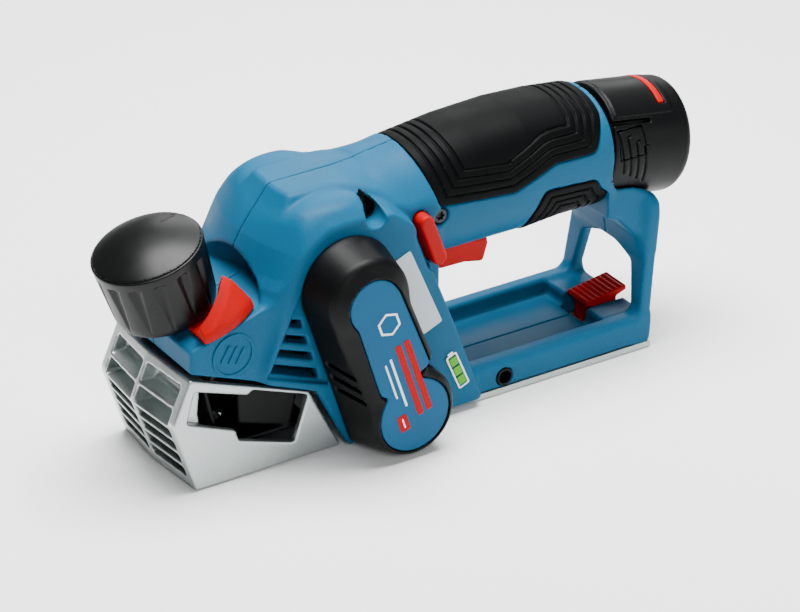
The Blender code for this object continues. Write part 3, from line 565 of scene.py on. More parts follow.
def belt_run(g, upper_radius, lower_radius):
    """Signed distance to the taut outline round the motor and drum axes, endless along y."""
    ux, uz = MOTOR_AXIS
    dx, dz = DRUM_AXIS[0] - ux, DRUM_AXIS[1] - uz
    length = math.hypot(dx, dz)
    along = ((g.x - ux) * dx + (g.z - uz) * dz) / length
    side = np.abs((g.x - ux) * dz - (g.z - uz) * dx) / length
    tilt = (upper_radius - lower_radius) / length
    rise = math.sqrt(1 - tilt * tilt)
    lean = side * rise + along * tilt
    place = along * rise - side * tilt
    flank = lean - upper_radius
    upper = np.hypot(side, along) - upper_radius
    lower = np.hypot(side, along - length) - lower_radius
    return np.where(place < 0, upper, np.where(place > length * rise, lower, flank))


def handle_field(g):
    centre = np.interp(g.x, HANDLE_X, HANDLE_CENTRE)
    wide = np.interp(g.x, HANDLE_X, HANDLE_HALF_WIDTH)
    tall = np.interp(g.x, HANDLE_X, HANDLE_HALF_HEIGHT)
    p = HANDLE_SQUARENESS
    reach = ((np.abs(g.y) / wide) ** p + (np.abs(g.z - centre) / tall) ** p) ** (1 / p)
    return ((reach - 1) * (wide + tall) / 2).astype(np.float32)


FRONT_Z = (60, 71.8, 75.7, 80, 89.8, 98.2, 106.6, 112)
FRONT_X = (24, 29.5, 31, 33.8, 38.8, 44.4, 51, 55.4)
FRONT_BOW = 0.0075  # how fast the front of the head falls back from the parting plane
TOP_X = (40, 51, 79, 104, 118)
TOP_Z = (106.4, 106.6, 107, 108.5, 110)
FACET_X = (40, 52, 69, 82, 96, 110)
FACET_HALF_WIDTH = (13.2, 13.8, 14.6, 17.5, 20.5, 22)

APRON_SIDE = (
    (-1, 51.2), (-1, 62.6), (30, 69.8), (50, 74), (104, 78), (114.5, 45),
    (129.5, BASE_BOTTOM), (92, BASE_BOTTOM), (88, 1), (66.8, 1), (52.6, 29.6),
)
SLAB_SIDE = (
    (27.6, 40.1), (39.8, 68.3), (49.7, 88.6), (60, 96), (88, 97), (97, 90),
    (116, 41), (129.9, BASE_BOTTOM), (92, BASE_BOTTOM), (88, 1), (66.8, 1), (52.6, 29.5),
)
SLAB_FRONT = ((29, 42.6), (49.2, 88.6))


def beyond_line(u, v, a, b):
    """Signed distance from the line through a and b, positive on the left of a to b."""
    du, dv = b[0] - a[0], b[1] - a[1]
    return ((v - a[1]) * du - (u - a[0]) * dv) / math.hypot(du, dv)


def head_field(g):
    aside = np.abs(g.y)
    front = 0.85 * (np.interp(g.z, FRONT_Z, FRONT_X) + FRONT_BOW * aside**2 - g.x)
    top_z = np.interp(g.x, TOP_X, TOP_Z) - np.interp(g.x, (72, 100), (0, 0.021)) * aside**2
    top = g.z - top_z
    past_edge = aside - np.interp(g.x, FACET_X, FACET_HALF_WIDTH)
    shoulder = 0.88 * past_edge + 0.47 * (g.z - np.interp(g.x, TOP_X, TOP_Z))
    core = meet(meet(front, top, 1), shoulder, 1.6)
    core = meet(core, span(g.x, 20, 113), 6)
    core = meet(core, 46 - g.z, 0)
    core = meet(core, aside - CORE_HALF_WIDTH, 1.5)

    disc = meet(round_bar(g, MOTOR_AXIS, 35.2), aside - SLAB_HALF_WIDTH, 12.5)
    disc = meet(disc, top - 1, 5)
    slab = meet(side_field(g, SLAB_SIDE, 2.5), aside - SLAB_HALF_WIDTH, 1.2)
    bevel = (beyond_line(g.x, g.z, *SLAB_FRONT) + aside - SLAB_HALF_WIDTH) * math.sqrt(0.5)
    slab = meet(slab, bevel, 1)
    boss = meet(blend(disc, slab, 6), aside - SLAB_HALF_WIDTH, 1)
    boss = meet(boss, 0.85 * (np.interp(g.z, FRONT_Z, FRONT_X) + FRONT_BOW * aside**2 - 0.8 - g.x), 1)
    return blend(core, boss, 1)


ROOM_HEIGHTS = (2.6, 6.2, 10.8, 16.2, 18.5)
ROOM_RADII = (36.2, 34.4, 32.2, 27.8, 24.2)


def knob_room(g):
    """Room for the knob and for the selector lever's swing."""
    radius, _, height = knob_coordinates(g)
    reach = np.interp(height, ROOM_HEIGHTS, ROOM_RADII)
    return meet((radius - reach) * 0.75, -2.8 - height, 0.5)


def base_field(g):
    aside = np.abs(g.y)
    base = meet(span(g.x, 104, 214.2), span(g.z, BASE_BOTTOM - 4, 14.4), 0.8)
    base = meet(base, aside - 28.7, 3.6)
    base = meet(base, BASE_BOTTOM - g.z, 0.4)
    base = meet(base, (aside - 28.7 + g.z - 13.2) * math.sqrt(0.5), 1.5)
    tray = block(g, (116, -20.5, 7.2), (196.5, 20.5, 40), 2)
    return without(base, tray, 1.8)


def mirrored(half):
    """A closed outline in y and z from its right half."""
    return half + [(-y, z) for y, z in reversed(half)]


def portal_field(g):
    """The frame that carries the handle's rear end: a leaning panel with a window."""
    lean = 0.12
    x = g.x - lean * g.z
    outline = mirrored([(28.7, 2.8), (28.3, 16), (25.8, 56), (24, 62.5)])
    window = mirrored([(21.2, 13), (16.5, 35), (5, 39.2)])
    y, z = g.y[0, :, :], g.z[0, 0, :][None, :]
    flat = outline_field(y, z, corner_arcs(outline, 3))[None]
    hole = outline_field(y, z, corner_arcs(window, 3.2))[None]
    panel = meet(flat, span(x, 207.6, 213.2), 1.6)
    return panel, meet(hole, span(x, 180, 240), 0)


CRADLE_SIDE = (
    (180, 80), (184, 66), (202, 57.5), (210.5, 48.5), (213, 41), (218.2, 41),
    (221.4, 58), (219.8, 64.6), (216, 68), (199.5, 79.2), (196, 84), (180, 84),
)


def cradle_field(g):
    taper = np.interp(g.z, (30, 75), (25, 21.5))
    return meet(side_field(g, CRADLE_SIDE, 3), np.abs(g.y) - taper, 3)


def pad_recess(g, outline, handle, grow, depth):
    """The part of the handle's skin under a grip pad."""
    region = side_field(g, outline, 4.5) - grow
    return meet(region, -(handle + depth), 0.3)


LOCK_ENDS = ((103.6, 87.9), (109.6, 71.5))
LOCK_RADIUS = 3.2
HEAD_SCREW = (78, 99.5)
GRIP_SCREW = (114, 85.5)


HEAD_ROOM = ((46, 50), (46, 80), (54, 96), (58, 99.4), (118, 99.4), (118, 72), (110, 50), (104, 46))
MOUTH = ((60, -2), (50, 10), (46, 22), (47, 33.5), (70, 34.5), (97, 18), (96, -2))
UNDER_APRON = ((2, 40), (6, 50.2), (50.5, 34.2), (60, 20), (40, 20))
STEM_GAP = 0.8
PACK_GAP = 0.4
BEARING_RADIUS = 7.3
VENT_ROWS = (
    ((42, 63.5), (47, 61.8), (47.4, 58.2), (40.9, 60.6)),
    ((39.1, 57.7), (49, 53.9), (49.7, 50.4), (37.9, 54.9)),
    ((36.3, 52.1), (51.2, 46.4), (51.9, 42.9), (35.1, 49.3)),
    ((33.5, 46.4), (53.4, 38.6), (54.2, 33.9), (32.2, 42.9)),
)
VENT_PANEL = ((46.6, 76), (58, 67), (60, 45), (57.6, 31.2), (30.6, 41.4))
VENT_PANEL_DEPTH = 2.3
VENT_ROOM = ((42, 64.2), (50, 62.5), (55.6, 50), (55.4, 34.6), (32.2, 43.2))


def housing_rooms(g):
    """The rooms inside, as the union of their fields."""
    aside = np.abs(g.y)
    rooms = [
        meet(side_field(g, HEAD_ROOM, 2), aside - 18.7, 1),
        meet(round_bar(g, MOTOR_AXIS, 21.5), aside - 26, 0.5),
        meet(round_bar(g, DRUM_AXIS, 21.3), aside - 28.4, 0.4),
        meet(side_field(g, MOUTH, 1), aside - 28.2, 0.4),
        meet(side_field(g, UNDER_APRON, 0.6), aside - 25.6, 0.4),
        meet(side_field(g, VENT_ROOM, 0.8), span(aside, 17, 25.2), 0.3),
        block(g, (112, -9, 60), (151, 9, 84), 0.5),
        block(g, (119.5, -8.6, 40), (150.5, 8.6, 70), 0.8),
        block(g, (195, -8, -2), (217, 8, 30), 0.6),
    ]
    stem, along = slanted_bar(g, STEM_START, STEM_WAY, STEM_RADIUS + STEM_GAP)
    rooms.append(meet(stem, span(along, -76, 10), 0.4))
    pack, along = slanted_bar(g, PACK_FRONT, PACK_WAY, PACK_RADIUS + PACK_GAP)
    rooms.append(meet(pack, span(along, -0.4, 60), 0.3))
    for axis in (MOTOR_AXIS, DRUM_AXIS):
        rooms.append(meet(round_bar(g, axis, BEARING_RADIUS), span(g.y, -40, 32.7), 0))
    return union(rooms)


def teardrop(g):
    """The outline of the well around the head's screw."""
    tip = segment_field(g, (79.7, 101.8), (79.3, 104.8), 0.8)
    return blend(round_bar(g, (79.9, 98), 4.7), tip, 2.6)


def vent_shade_plates():
    """Black plates behind the side louvres, as painted shade: they fill the view through the vents
    where the inside lies in shade.
    """
    for side, sign in SIDES:
        low, high = sorted((sign * 17.6, sign * 19))
        g = Grid((32, low - 0.8, 35), (57, high + 0.8, 66), 0.4)
        # Painted shade: a black plate where only the shaded inside of the housing would show through
        # the louvres.
        plate = meet(side_field(g, VENT_ROOM, 0.8) + 0.35, span(g.y, low, high), 0.2)
        make_piece("vent_shade_plate_" + side, plate, g, "black_plastic")


def shaded_screw_well():
    """A black lining in the head screw's well, as painted shade: it darkens the deep well where the
    screw head lies in shadow.
    """
    g = Grid((73, -25, 92), (87, -19.6, 108), 0.25)
    # Painted shade: a black lining stands for the shadow inside the deep well.
    shade_lining = meet(teardrop(g) + 0.25, span(g.y, -24, -20.6), 0.2)
    shade_lining = without(shade_lining, meet(teardrop(g) + 0.9, g.y + 21.4, 0), 0.1)
    make_piece("head_screw_painted_shade", shade_lining, g, "black_plastic")


GUIDE_BORE = (142.7, 6.9)
THUMB_SLOT = ((101, 84.6), (106, 70.8))


def housing_details(g, body, handle):
    """Screw recesses, button ways, vents, guide bores and the grip pads' seats, cut into the body."""
    aside = np.abs(g.y)
    for outline in (PAD_TOP, PAD_LOWER):
        body = without(body, pad_recess(g, outline, handle, 0.35, 1.2), 0.25)
    # Outline, depth, and the radii of the inner edge and of the rim.
    cuts = [
        (segment_field(g, *LOCK_ENDS, LOCK_RADIUS + 0.4), 16 - aside, 0.3, 0.3),
        (segment_field(g, *THUMB_SLOT, 3), 26.5 - aside, 0.6, 0.8),
        (round_bar(g, GUIDE_BORE, 3.95), 16 - aside, 0.2, 0.3),
        (round_bar(g, GRIP_SCREW, 4), 22 + g.y, 0.2, 0.4),
        (teardrop(g), 20.4 + g.y, 0.3, 0.5),
        (side_field(g, VENT_PANEL, 1), SLAB_HALF_WIDTH - VENT_PANEL_DEPTH - aside, 0.5, 0.5),
    ]
    cuts += [(side_field(g, row, 0.5), 20 - aside, 0.2, 0.25) for row in VENT_ROWS]
    for outline, depth, edge, rim in cuts:
        body = without(body, meet(outline, depth, edge), rim)
    return body


FILLET_END_X = 62  # the fillet between head and apron is left of this
SKYLINE_TOP_Z = 56  # under this the body keeps inside the apron's and slab's outlines
SLAB_END_X = 131
BASE_HALF_WIDTH = 28.75
SEAM_HALF_GAP = 0.12
FAR_INSIDE = 9


def housing():
    """Both halves of the housing, cut from one body on the parting plane."""
    g = Grid((-3, -34.5, -0.5), (224, 34.5, 113), 0.7)
    handle = handle_field(g)
    handle = meet(handle, span(g.x, *HANDLE_ENDS), 0.6)
    upper = blend(head_field(g), handle, 5)
    apron_side = side_field(g, APRON_SIDE, 1.2)
    apron = meet(apron_side, np.abs(g.y) - APRON_HALF_WIDTH, 1.3)
    skyline = np.minimum(apron_side, side_field(g, SLAB_SIDE, 2.5))
    body = np.where(g.x < FILLET_END_X, blend(upper, apron, 3.6), np.minimum(upper, apron))
    body = np.maximum(body, np.where(g.z < SKYLINE_TOP_Z, skyline, -FAR_INSIDE))
    panel, window = portal_field(g)
    frame_part = blend(base_field(g), panel, 4.5)
    body = blend(body, frame_part, 4)
    body = blend(body, cradle_field(g), 4.5)
    body = without(body, window, 1.6)
    body = without(body, knob_room(g), 1)
    body = housing_details(g, body, handle)
    body = without(body, housing_rooms(g), 0.4)
    radius, _, height = knob_coordinates(g)
    body = without(body, meet(radius - 5.8, span(height, -30, 1), 0), 0.2)
    widest = np.where(g.x > SLAB_END_X, BASE_HALF_WIDTH, SLAB_HALF_WIDTH)
    body = np.maximum(body, np.abs(g.y) - widest)
    for name, half, node in (
        ("housing_shell_left", g.y + SEAM_HALF_GAP, "housing_left"),
        ("housing_shell_right", SEAM_HALF_GAP - g.y, "housing_right"),
    ):
        make_piece(name, meet(body, half, SEAM_HALF_GAP), g, "blue_plastic", node)


# ---- belt cover

COVER_BACK_Y = -33.3
COVER_RIM_Y = -50.5
COVER_FACE_Y = -53.5
COVER_LEAN = (0.31, -0.951)  # the way down the cover, in x and z

# Upper disc, lower disc (x, z and radius) and the band between them.
PANEL_SHAPE = (
    (66.5, 72, 11.4),
    (84.5, 19.2, 15.9),
    ((55.6, 74), (69.2, 30), (92, 39.5), (77.3, 77)),
)
RIM_SHAPE = (
    (66.3, 72.5, 17.3),
    (84.5, 19.8, 18.6),
    ((50, 67), (66.8, 24), (93.5, 42), (83, 70)),
)
BACK_SHAPE = (
    (66, 73, 20.8),
    (84.5, 19.8, 19.1),
    ((46, 67.8), (66.6, 3.3), (72, 0.9), (86, 0.9), (100, 15), (92, 42), (85.5, 78)),
)


def soften(flat, reach, step):
    """A flat field with its corners rounded by averaging over a reach."""
    n = max(1, round(reach / step))
    weights = np.hanning(2 * n + 3)[1:-1]
    weights /= weights.sum()
    for axis in (0, 1):
        size = flat.shape[axis]
        room = [(n, n) if a == axis else (0, 0) for a in (0, 1)]
        padded = np.pad(flat, room, mode="edge")
        flat = sum(w * np.take(padded, range(k, k + size), axis=axis) for k, w in enumerate(weights))
    return flat.astype(np.float32)


def waisted_field(g, shape, reach):
    """Two discs and the band between them, in x and z, with soft waists."""
    upper, lower, band = shape
    discs = [round_bar(g, disc[:2], disc[2]) for disc in (upper, lower)]
    flat = union([*discs, side_field(g, band)])
    return soften(flat[:, 0, :], reach, g.step)[:, None, :]


COVER_SLOT_HEIGHTS = (43, 36.7, 30.7)


def belt_cover():
    """The black cover with its dished face, hollow for the belt, and the blue panel set in it."""
    g = Grid((43, -54.2, -0.6), (106.5, -32.6, 96), 0.5)
    panel = waisted_field(g, PANEL_SHAPE, 3.5)
    rim = waisted_field(g, RIM_SHAPE, 4)
    back = waisted_field(g, BACK_SHAPE, 3)
    t = (COVER_BACK_Y - g.y) / (COVER_BACK_Y - COVER_RIM_Y)
    wall = back * (1 - t) + rim * t
    crown = (COVER_FACE_Y + 0.6 * panel - g.y) / 1.166
    body = meet(wall, crown, 1.4)
    body = meet(body, COVER_FACE_Y - g.y, 0.3)
    body = meet(body, g.y - COVER_BACK_Y, 0.2)
    body = without(body, meet(panel - 0.2, g.y + 51.7, 0.2), 0.35)
    body = without(body, meet(belt_run(g, 12.8, 15.4), -49.3 - g.y, 0.3), 0)
    for height in COVER_SLOT_HEIGHTS:
        fall = (g.y + 36) * 0.23
        slot = meet(span(g.z - fall, height - 1.15, height + 1.15), span(g.y, -48.6, -35.6), 0.9)
        slot = meet(slot, g.x - 76, 0)
        body = without(body, meet(slot, -(wall + 2.6), 0), 0.3)
    make_piece("belt_cover_shell", body, g, "black_plastic", "belt_cover")

    face = meet(panel + 0.15, span(g.y, -52.75, -51.9), 0.4)
    finish = "panel_moulding"
    make_piece("cover_panel_face", face, g, "blue_plastic", "cover_panel", finish=finish)


def slanted_tile(g, centre, length, width, radius, lean=COVER_LEAN):
    """A flat rounded rectangle in x and z, its length along lean."""
    u = (g.x - centre[0]) * lean[0] + (g.z - centre[1]) * lean[1]
    v = (g.z - centre[1]) * lean[0] - (g.x - centre[0]) * lean[1]
    return meet(np.abs(u) - length / 2, np.abs(v) - width / 2, radius)


def mark_piece(name, g, flat, y_low, y_high, finish, slot, *nodes):
    """Ink or a thin label: a flat shape with a small thickness."""
    field = meet(flat, span(g.y, y_low, y_high), 0.08)
    make_piece(name, field, g, slot, *nodes, finish=finish)


MARK_FACES = (-52.95, -52.5)  # the marks stand a little proud of the panel
RING_CENTRE = (72.6, 62.6)
RING_REACH = 4.6
RING_HALF_WIDTH = 0.45
BAR_CENTRES = ((85.7, 36.8), (81.8, 35.5))
BOX_CENTRE = (79.2, 17)


def cover_marks():
    """Plain bars and a six-sided ring take the place of the lettering on the panel."""
    g = Grid((63, -53.3, 10), (97, -52.3, 72), 0.2)
    low, high = MARK_FACES
    six = np.full((g.x.shape[0], 1, g.z.shape[2]), -FAR_INSIDE, np.float32)
    for k in range(6):
        a = math.radians(60 * k + 18)
        side = (g.x - RING_CENTRE[0]) * math.cos(a) + (g.z - RING_CENTRE[1]) * math.sin(a) - RING_REACH
        six = np.maximum(six, side)
    hexagon = np.abs(six + RING_HALF_WIDTH) - RING_HALF_WIDTH
    mark_piece("panel_ring", g, hexagon, low, high, "white_ink", "pale_plate")
    bars = union(slanted_tile(g, centre, 35, 2.7, 0.5) for centre in BAR_CENTRES)
    mark_piece("panel_bars", g, bars, low, high, "red_ink", "red_plastic")
    lines = union([
        slanted_tile(g, (76.8, 35.8), 24, 1, 0.3),
        slanted_tile(g, (73.5, 37), 17, 0.8, 0.3),
        slanted_tile(g, BOX_CENTRE, 4.6, 0.7, 0.2),
    ])
    box = slanted_tile(g, BOX_CENTRE, 7.4, 4.4, 0.6)
    mark_piece("panel_box", g, box, low, high - 0.1, "red_ink", "red_plastic")
    mark_piece("panel_lines", g, lines, low - 0.15, high, "white_ink", "pale_plate")


# ---- knob and selector

KNOB_FLUTES = 14
SKIRT_HEIGHTS = (-0.3, 0.8, 2.4, 5, 10, 28.2, 29.2)
SKIRT_RADII = (17.8, 19.2, 20.1, 20.6, 20.95, 22.3, 22.3)
SKIRT_ENDS = (-0.3, 29.2)
DOME_RADIUS = 49.6
DOME_CENTRE = -15
CAP_RADIUS = 22.2


def knob():
    """The fluted skirt, and the domed cap with a small turn mark on it."""
    g = Grid((-27.5, -23.2, 58.5), (29, 23.2, 106.5), 0.4)
    radius, turn, height = knob_coordinates(g)
    pitch = 360 / KNOB_FLUTES
    off = np.abs((turn + 6) % pitch - pitch / 2)
    half = np.interp(height, (2, 25), (0.3, 3))
    depth = np.interp(height, (2, 8, 24.8, 25.6), (0, 0.7, 1.6, 0))
    flute = depth * np.clip(1 - np.radians(off) * radius / half, 0, 1)
    wall = radius - np.interp(height, SKIRT_HEIGHTS, SKIRT_RADII)
    skirt = meet(wall + flute, span(height, *SKIRT_ENDS), 0.6)
    skirt = without(skirt, meet(radius - 3.3, height - 26, 0), 0.2)
    finish = "knob_moulding"
    make_piece("knob_skirt", skirt, g, "black_plastic", "depth_knob", body="knob", finish=finish)

    dome = np.hypot(radius, height - DOME_CENTRE) - DOME_RADIUS
    mark_turn = np.radians(turn + 20)
    out, aside = radius * np.cos(mark_turn), radius * np.sin(mark_turn)
    line = meet(span(out, 11.5, 19.4), np.abs(aside) - 0.3, 0.15)
    head = meet(span(out, 18.8, 19.4), span(aside, -3, 0.3), 0.15)
    cap = meet(dome, radius - CAP_RADIUS, 0.6)
    cap = blend(cap, meet(dome - 0.3, np.minimum(line, head), 0.15), 0.15)
    cap = meet(cap, 29.35 - height, 0.2)
    make_piece("knob_dome", cap, g, "black_plastic", "knob_cap", body="knob", finish=finish)


LEVER_TURNS = (45, 92)  # degrees round the knob, from the lever's high end to its low end
LEVER_PEAK_RADIUS = 26.4
COLLAR_HEIGHTS = (-2.4, -0.6)


def selector():
    """The red lever: a wedge on a collar that turns under the knob."""
    g = Grid((-14.6, -36.6, 56.5), (32.5, 20.2, 90), 0.45)
    radius, turn, height = knob_coordinates(g)
    peak = np.interp(turn, LEVER_TURNS, (14.6, 3.4))
    inner = peak - 1.8 * (LEVER_PEAK_RADIUS - radius)
    outer = peak - 0.85 * (radius - LEVER_PEAK_RADIUS)
    edge_radius = np.interp(turn, LEVER_TURNS, (35.1, 29.8))
    lip = 1.4 + 1.9 * (edge_radius - radius)
    top = (height - np.minimum(np.minimum(inner, outer), lip)) * 0.55
    middle, half = sum(LEVER_TURNS) / 2, (LEVER_TURNS[1] - LEVER_TURNS[0]) / 2
    aside = radius * np.radians(np.abs(turn - middle) - half)
    wedge = meet(meet(top, 22.75 - radius, 0.6), (radius - edge_radius) * 0.97, 0.8)
    wedge = meet(wedge, aside, 1)
    wedge = meet(wedge, -2.4 - height, 0.4)
    tongue = meet(meet(span(radius, 12, 25), span(height, *COLLAR_HEIGHTS), 0.2), aside, 0.6)
    ring = meet(radius - 14, span(height, -2.5, -0.6), 0.3)
    lever = without(union([wedge, tongue, ring]), radius - 3.4, 0.2)
    make_piece("selector_wedge", lever, g, "red_plastic", "selector_lever", body="selector")


# ---- front shoe and chute

SHOE_HALF_WIDTH = 29
SHOE_SIDE = ((0, 0), (-9.5, 30.5), (-1.35, 48.8), (51.1, 28.4), (65.2, 0))
SHOE_HOLLOW = ((8, 4), (3.6, 31), (4.8, 42), (7.5, 54), (80, 60), (80, 4))
SHOE_WINDOW = (
    (0.4, 43.4), (-3.4, 30.2), (17.9, 21.2), (19.4, 16.2), (44, 7.8), (50.6, 27), (26, 36.6),
    (23.5, 35),
)
NOSE_FORWARD = 2.3
RIB_HEIGHTS = (4, 10.2, 16.4, 22.6, 28.8, 37, 46)
RIB_HALF_THICKNESS = 0.75
SCOOP_SIDE = ((21.6, 34.8), (25.6, 37.4), (48.6, 28.2), (45.4, 12.4), (21.4, 20.6))
FACE_Z = (0, 30.5, 48.8)
FACE_X = (0, -9.5, -1.35)


def front_shoe():
    """The cast shoe: a pointed nose with a lattice of pockets, side windows and an open back."""
    g = Grid((-12.8, -29.6, -0.5), (66, 29.6, 49.8), 0.5)
    aside = np.abs(g.y)
    x = g.x + NOSE_FORWARD * (1 - aside / SHOE_HALF_WIDTH)
    shoe = aside - SHOE_HALF_WIDTH
    for a, b in zip(SHOE_SIDE, SHOE_SIDE[1:] + SHOE_SIDE[:1]):
        u = x if a[0] < 1 and b[0] < 1 else g.x
        shoe = meet(shoe, beyond_line(u, g.z, a, b), 0.9)
    shoe = without(shoe, meet(side_field(g, SHOE_HOLLOW, 1.5), aside - 26, 1.5), 0.5)
    shoe = without(shoe, meet(side_field(g, SHOE_WINDOW, 1.6), 25 - aside, 0), 0.7)
    radius, _, height = knob_coordinates(g)
    shoe = blend(shoe, meet(radius - 5.2, span(height, -65, -56), 0.4), 0.8)
    depth = x - np.interp(g.z, FACE_Z, FACE_X)
    for low, high in zip(RIB_HEIGHTS, RIB_HEIGHTS[1:]):
        bottom, top = low + RIB_HALF_THICKNESS, high - RIB_HALF_THICKNESS
        bowl = 14
        if low > 28:
            rise = np.clip((g.z - bottom) / (top - bottom), 0, 1)
            bowl = np.where(g.z < 37, 9.6, 7.4) - 3.4 * rise**2
        pocket = meet(span(g.z, bottom, top), span(aside, 1.15, 24.6), 1.3)
        pocket = meet(pocket, depth - bowl, 1.6)
        shoe = without(shoe, pocket, 0.45)
    shoe = without(shoe, meet(radius - 3.3, span(height, -62.5, -45), 0), 0.2)
    make_piece("shoe_casting", shoe, g, "cast_aluminium", "front_shoe", body="shoe")


CHUTE_OUTER = (
    (12, 12), (6, 42), (10, 48.5), (49.5, 33), (50.5, 30.5), (55.5, 18), (53.5, 12),
)
CHUTE_DUCT = ((13.8, 14), (8, 40.5), (11, 46), (46.5, 32), (90, 32), (90, 14))


def chip_chute():
    """The duct that carries the chips to either side window, with a scoop at each."""
    g = Grid((5, -25.4, 11), (57, 25.4, 49.6), 0.6)
    aside = np.abs(g.y)
    outer = side_field(g, CHUTE_OUTER, 1)
    chute = meet(outer, aside - 24.8, 0.4)
    chute = without(chute, side_field(g, CHUTE_DUCT, 1.5), 0.3)
    scoop = meet(side_field(g, SCOOP_SIDE, 2.2), span(aside, 20.6, 24.7), 1.6)
    chute = np.minimum(chute, meet(scoop, outer, 0.3))
    radius, _, _ = knob_coordinates(g)
    chute = without(chute, radius - 5.8, 0.2)
    make_piece("chute_duct", chute, g, "black_plastic", "chip_chute")


# ---- grip pads

PAD_SQUEEZE = 0.78  # grooves lie further apart along the handle than up it, by one over this
PAD_DIMPLE = (147.1, 99.6)


def grip_pad(name, node, outline, low, high, insets):
    """A rubber skin on the handle inside an outline, with grooves that follow it at the insets."""
    g = Grid(low, high, 0.4)
    handle = handle_field(g)
    pad = meet(handle - 0.55, -0.9 - handle, 0.3)
    pad = meet(pad, side_field(g, outline, 4.5), 0.8)
    squeezed = corner_arcs([(x * PAD_SQUEEZE, z) for x, z in outline], 4)
    inset = outline_field(g.x[:, 0, :] * PAD_SQUEEZE, g.z[0, 0, :][None, :], squeezed)[:, None, :]
    for distance in insets:
        groove = meet(np.abs(inset + distance) - 0.38, -0.15 - handle, 0.2)
        pad = without(pad, groove, 0.22)
    pad = without(pad, meet(round_bar(g, PAD_DIMPLE, 0.95), -0.3 - handle, 0), 0.3)
    make_piece(name, pad, g, "grip_rubber", node)


def grip_pads():
    low, high = (102, -26.6, 84), (196, 26.6, 115.2)
    grip_pad("grip_top_rubber", "grip_pad_top", PAD_TOP, low, high, (3.4, 6.4, 9.4, 12.4))
    low, high = (157.4, -26.6, 58.4), (197.4, 26.6, 84.2)
    grip_pad("grip_lower_rubber", "grip_pad_lower", PAD_LOWER, low, high, (3.2, 6.2, 9.2))


# ---- battery

PACK_LENGTH = 39.5
PACK_SHELL = 23.95  # radius beside the raised label zone
FIRST_GROOVE = ((201, 97.2), (202.6, 80.2))
LAST_GROOVE = ((212.8, 89), (213.1, 73.2))


def pack_coordinates(g):
    """Distance from the pack's axis less its radius, place along it, and degrees round from the top."""
    pack, along = slanted_bar(g, PACK_FRONT, PACK_WAY, PACK_RADIUS)
    above = (g.x - PACK_FRONT[0]) * math.sin(PACK_SLOPE) + (g.z - PACK_FRONT[2]) * math.cos(PACK_SLOPE)
    return pack, along, np.degrees(np.arctan2(np.abs(g.y), above))


def release_grooves(g, field, shell):
    """Four hooked grooves cut into a side of the pack."""
    for k in range(4):
        t = k / 3
        top = [a + (b - a) * t for a, b in zip(FIRST_GROOVE[0], LAST_GROOVE[0])]
        bottom = [a + (b - a) * t for a, b in zip(FIRST_GROOVE[1], LAST_GROOVE[1])]
        hook = (top[0] + 1.7, top[1] + 0.2)
        line = np.minimum(segment_field(g, top, bottom, 0.5), segment_field(g, top, hook, 0.5))
        field = without(field, meet(line, -(shell + 0.9), 0.1), 0.25)
    return field


DEGREE_MM = 0.42  # length of one degree round the pack
BUTTON_X = (200.8, 213.2)
BUTTON_Z = (86, 97)
BUTTON_GAP = 0.3
BAND_HALF_WIDTH = 14
BAND_GAP = 0.3
BAND_PLACE = (25, 28)  # along the pack


def battery():
    """The pack with its stem and raised label zone, the red band, and the two release buttons."""
    g = Grid((130.5, -25.2, 58), (240.9, 25.2, 111.6), 0.46)
    pack, along, angle = pack_coordinates(g)
    shell = pack + PACK_RADIUS - PACK_SHELL
    case = meet(meet(shell, along - PACK_LENGTH, 4.2), -along, 0.8)
    zone = meet((angle - 46) * DEGREE_MM, span(along, 1.8, 31), 1.2)
    case = np.minimum(case, meet(pack, zone, 0.35))
    slot = span(angle * DEGREE_MM, 49 * DEGREE_MM, 54 * DEGREE_MM)
    slot = meet(slot, span(along, -2, 18.8), 0.9)
    case = without(case, meet(slot, -(shell + 2.6), 0), 0.25)
    case = release_grooves(g, case, shell)
    stem, place = slanted_bar(g, STEM_START, STEM_WAY, STEM_RADIUS)
    case = np.minimum(case, meet(stem, span(place, -66, 8), 0.8))
    case = without(case, meet(stem + 1.2, span(place, -71, 0), 0.2), 0.2)
    for sign in (-1, 1):
        low, high = sorted((sign * 16.8, sign * 40))
        start = (BUTTON_X[0] - BUTTON_GAP, low, BUTTON_Z[0] - BUTTON_GAP)
        end = (BUTTON_X[1] + BUTTON_GAP, high, BUTTON_Z[1] + BUTTON_GAP)
        case = without(case, block(g, start, end, 0.4), 0.1)
    seat = span(along, BAND_PLACE[0] - BAND_GAP, BAND_PLACE[1] + BAND_GAP)
    seat = meet(seat, np.abs(g.y) - BAND_HALF_WIDTH - BAND_GAP, 0.3)
    seat = meet(seat, 91 - g.z, 0)
    case = without(case, meet(seat, -(pack + 1.2), 0), 0.15)
    make_piece("battery_shell", case, g, "black_plastic", "battery_case", body="battery")

    band = meet(span(along, *BAND_PLACE), np.abs(g.y) - BAND_HALF_WIDTH, 0.4)
    band = meet(band, span(pack, -1, 0.1), 0.2)
    band = meet(band, 92 - g.z, 0)
    make_piece("battery_stripe", band, g, "red_plastic", "battery_band", body="battery")

    for side, sign in SIDES:
        low, high = sorted((sign * 20, sign * 25))
        h = Grid((200, low - 0.6, 85.2), (214, high + 0.6, 97.8), 0.35)
        pack, _, _ = pack_coordinates(h)
        shell = pack + PACK_RADIUS - PACK_SHELL
        stock = block(h, (BUTTON_X[0], low, BUTTON_Z[0]), (BUTTON_X[1], high, BUTTON_Z[1]), 0.2)
        button = release_grooves(h, meet(shell, stock, 0.1), shell)
        name, node = "release_tongue_" + side, "release_button_" + side
        make_piece(name, button, h, "black_plastic", node, body="release_" + side)


# ---- controls and small fittings

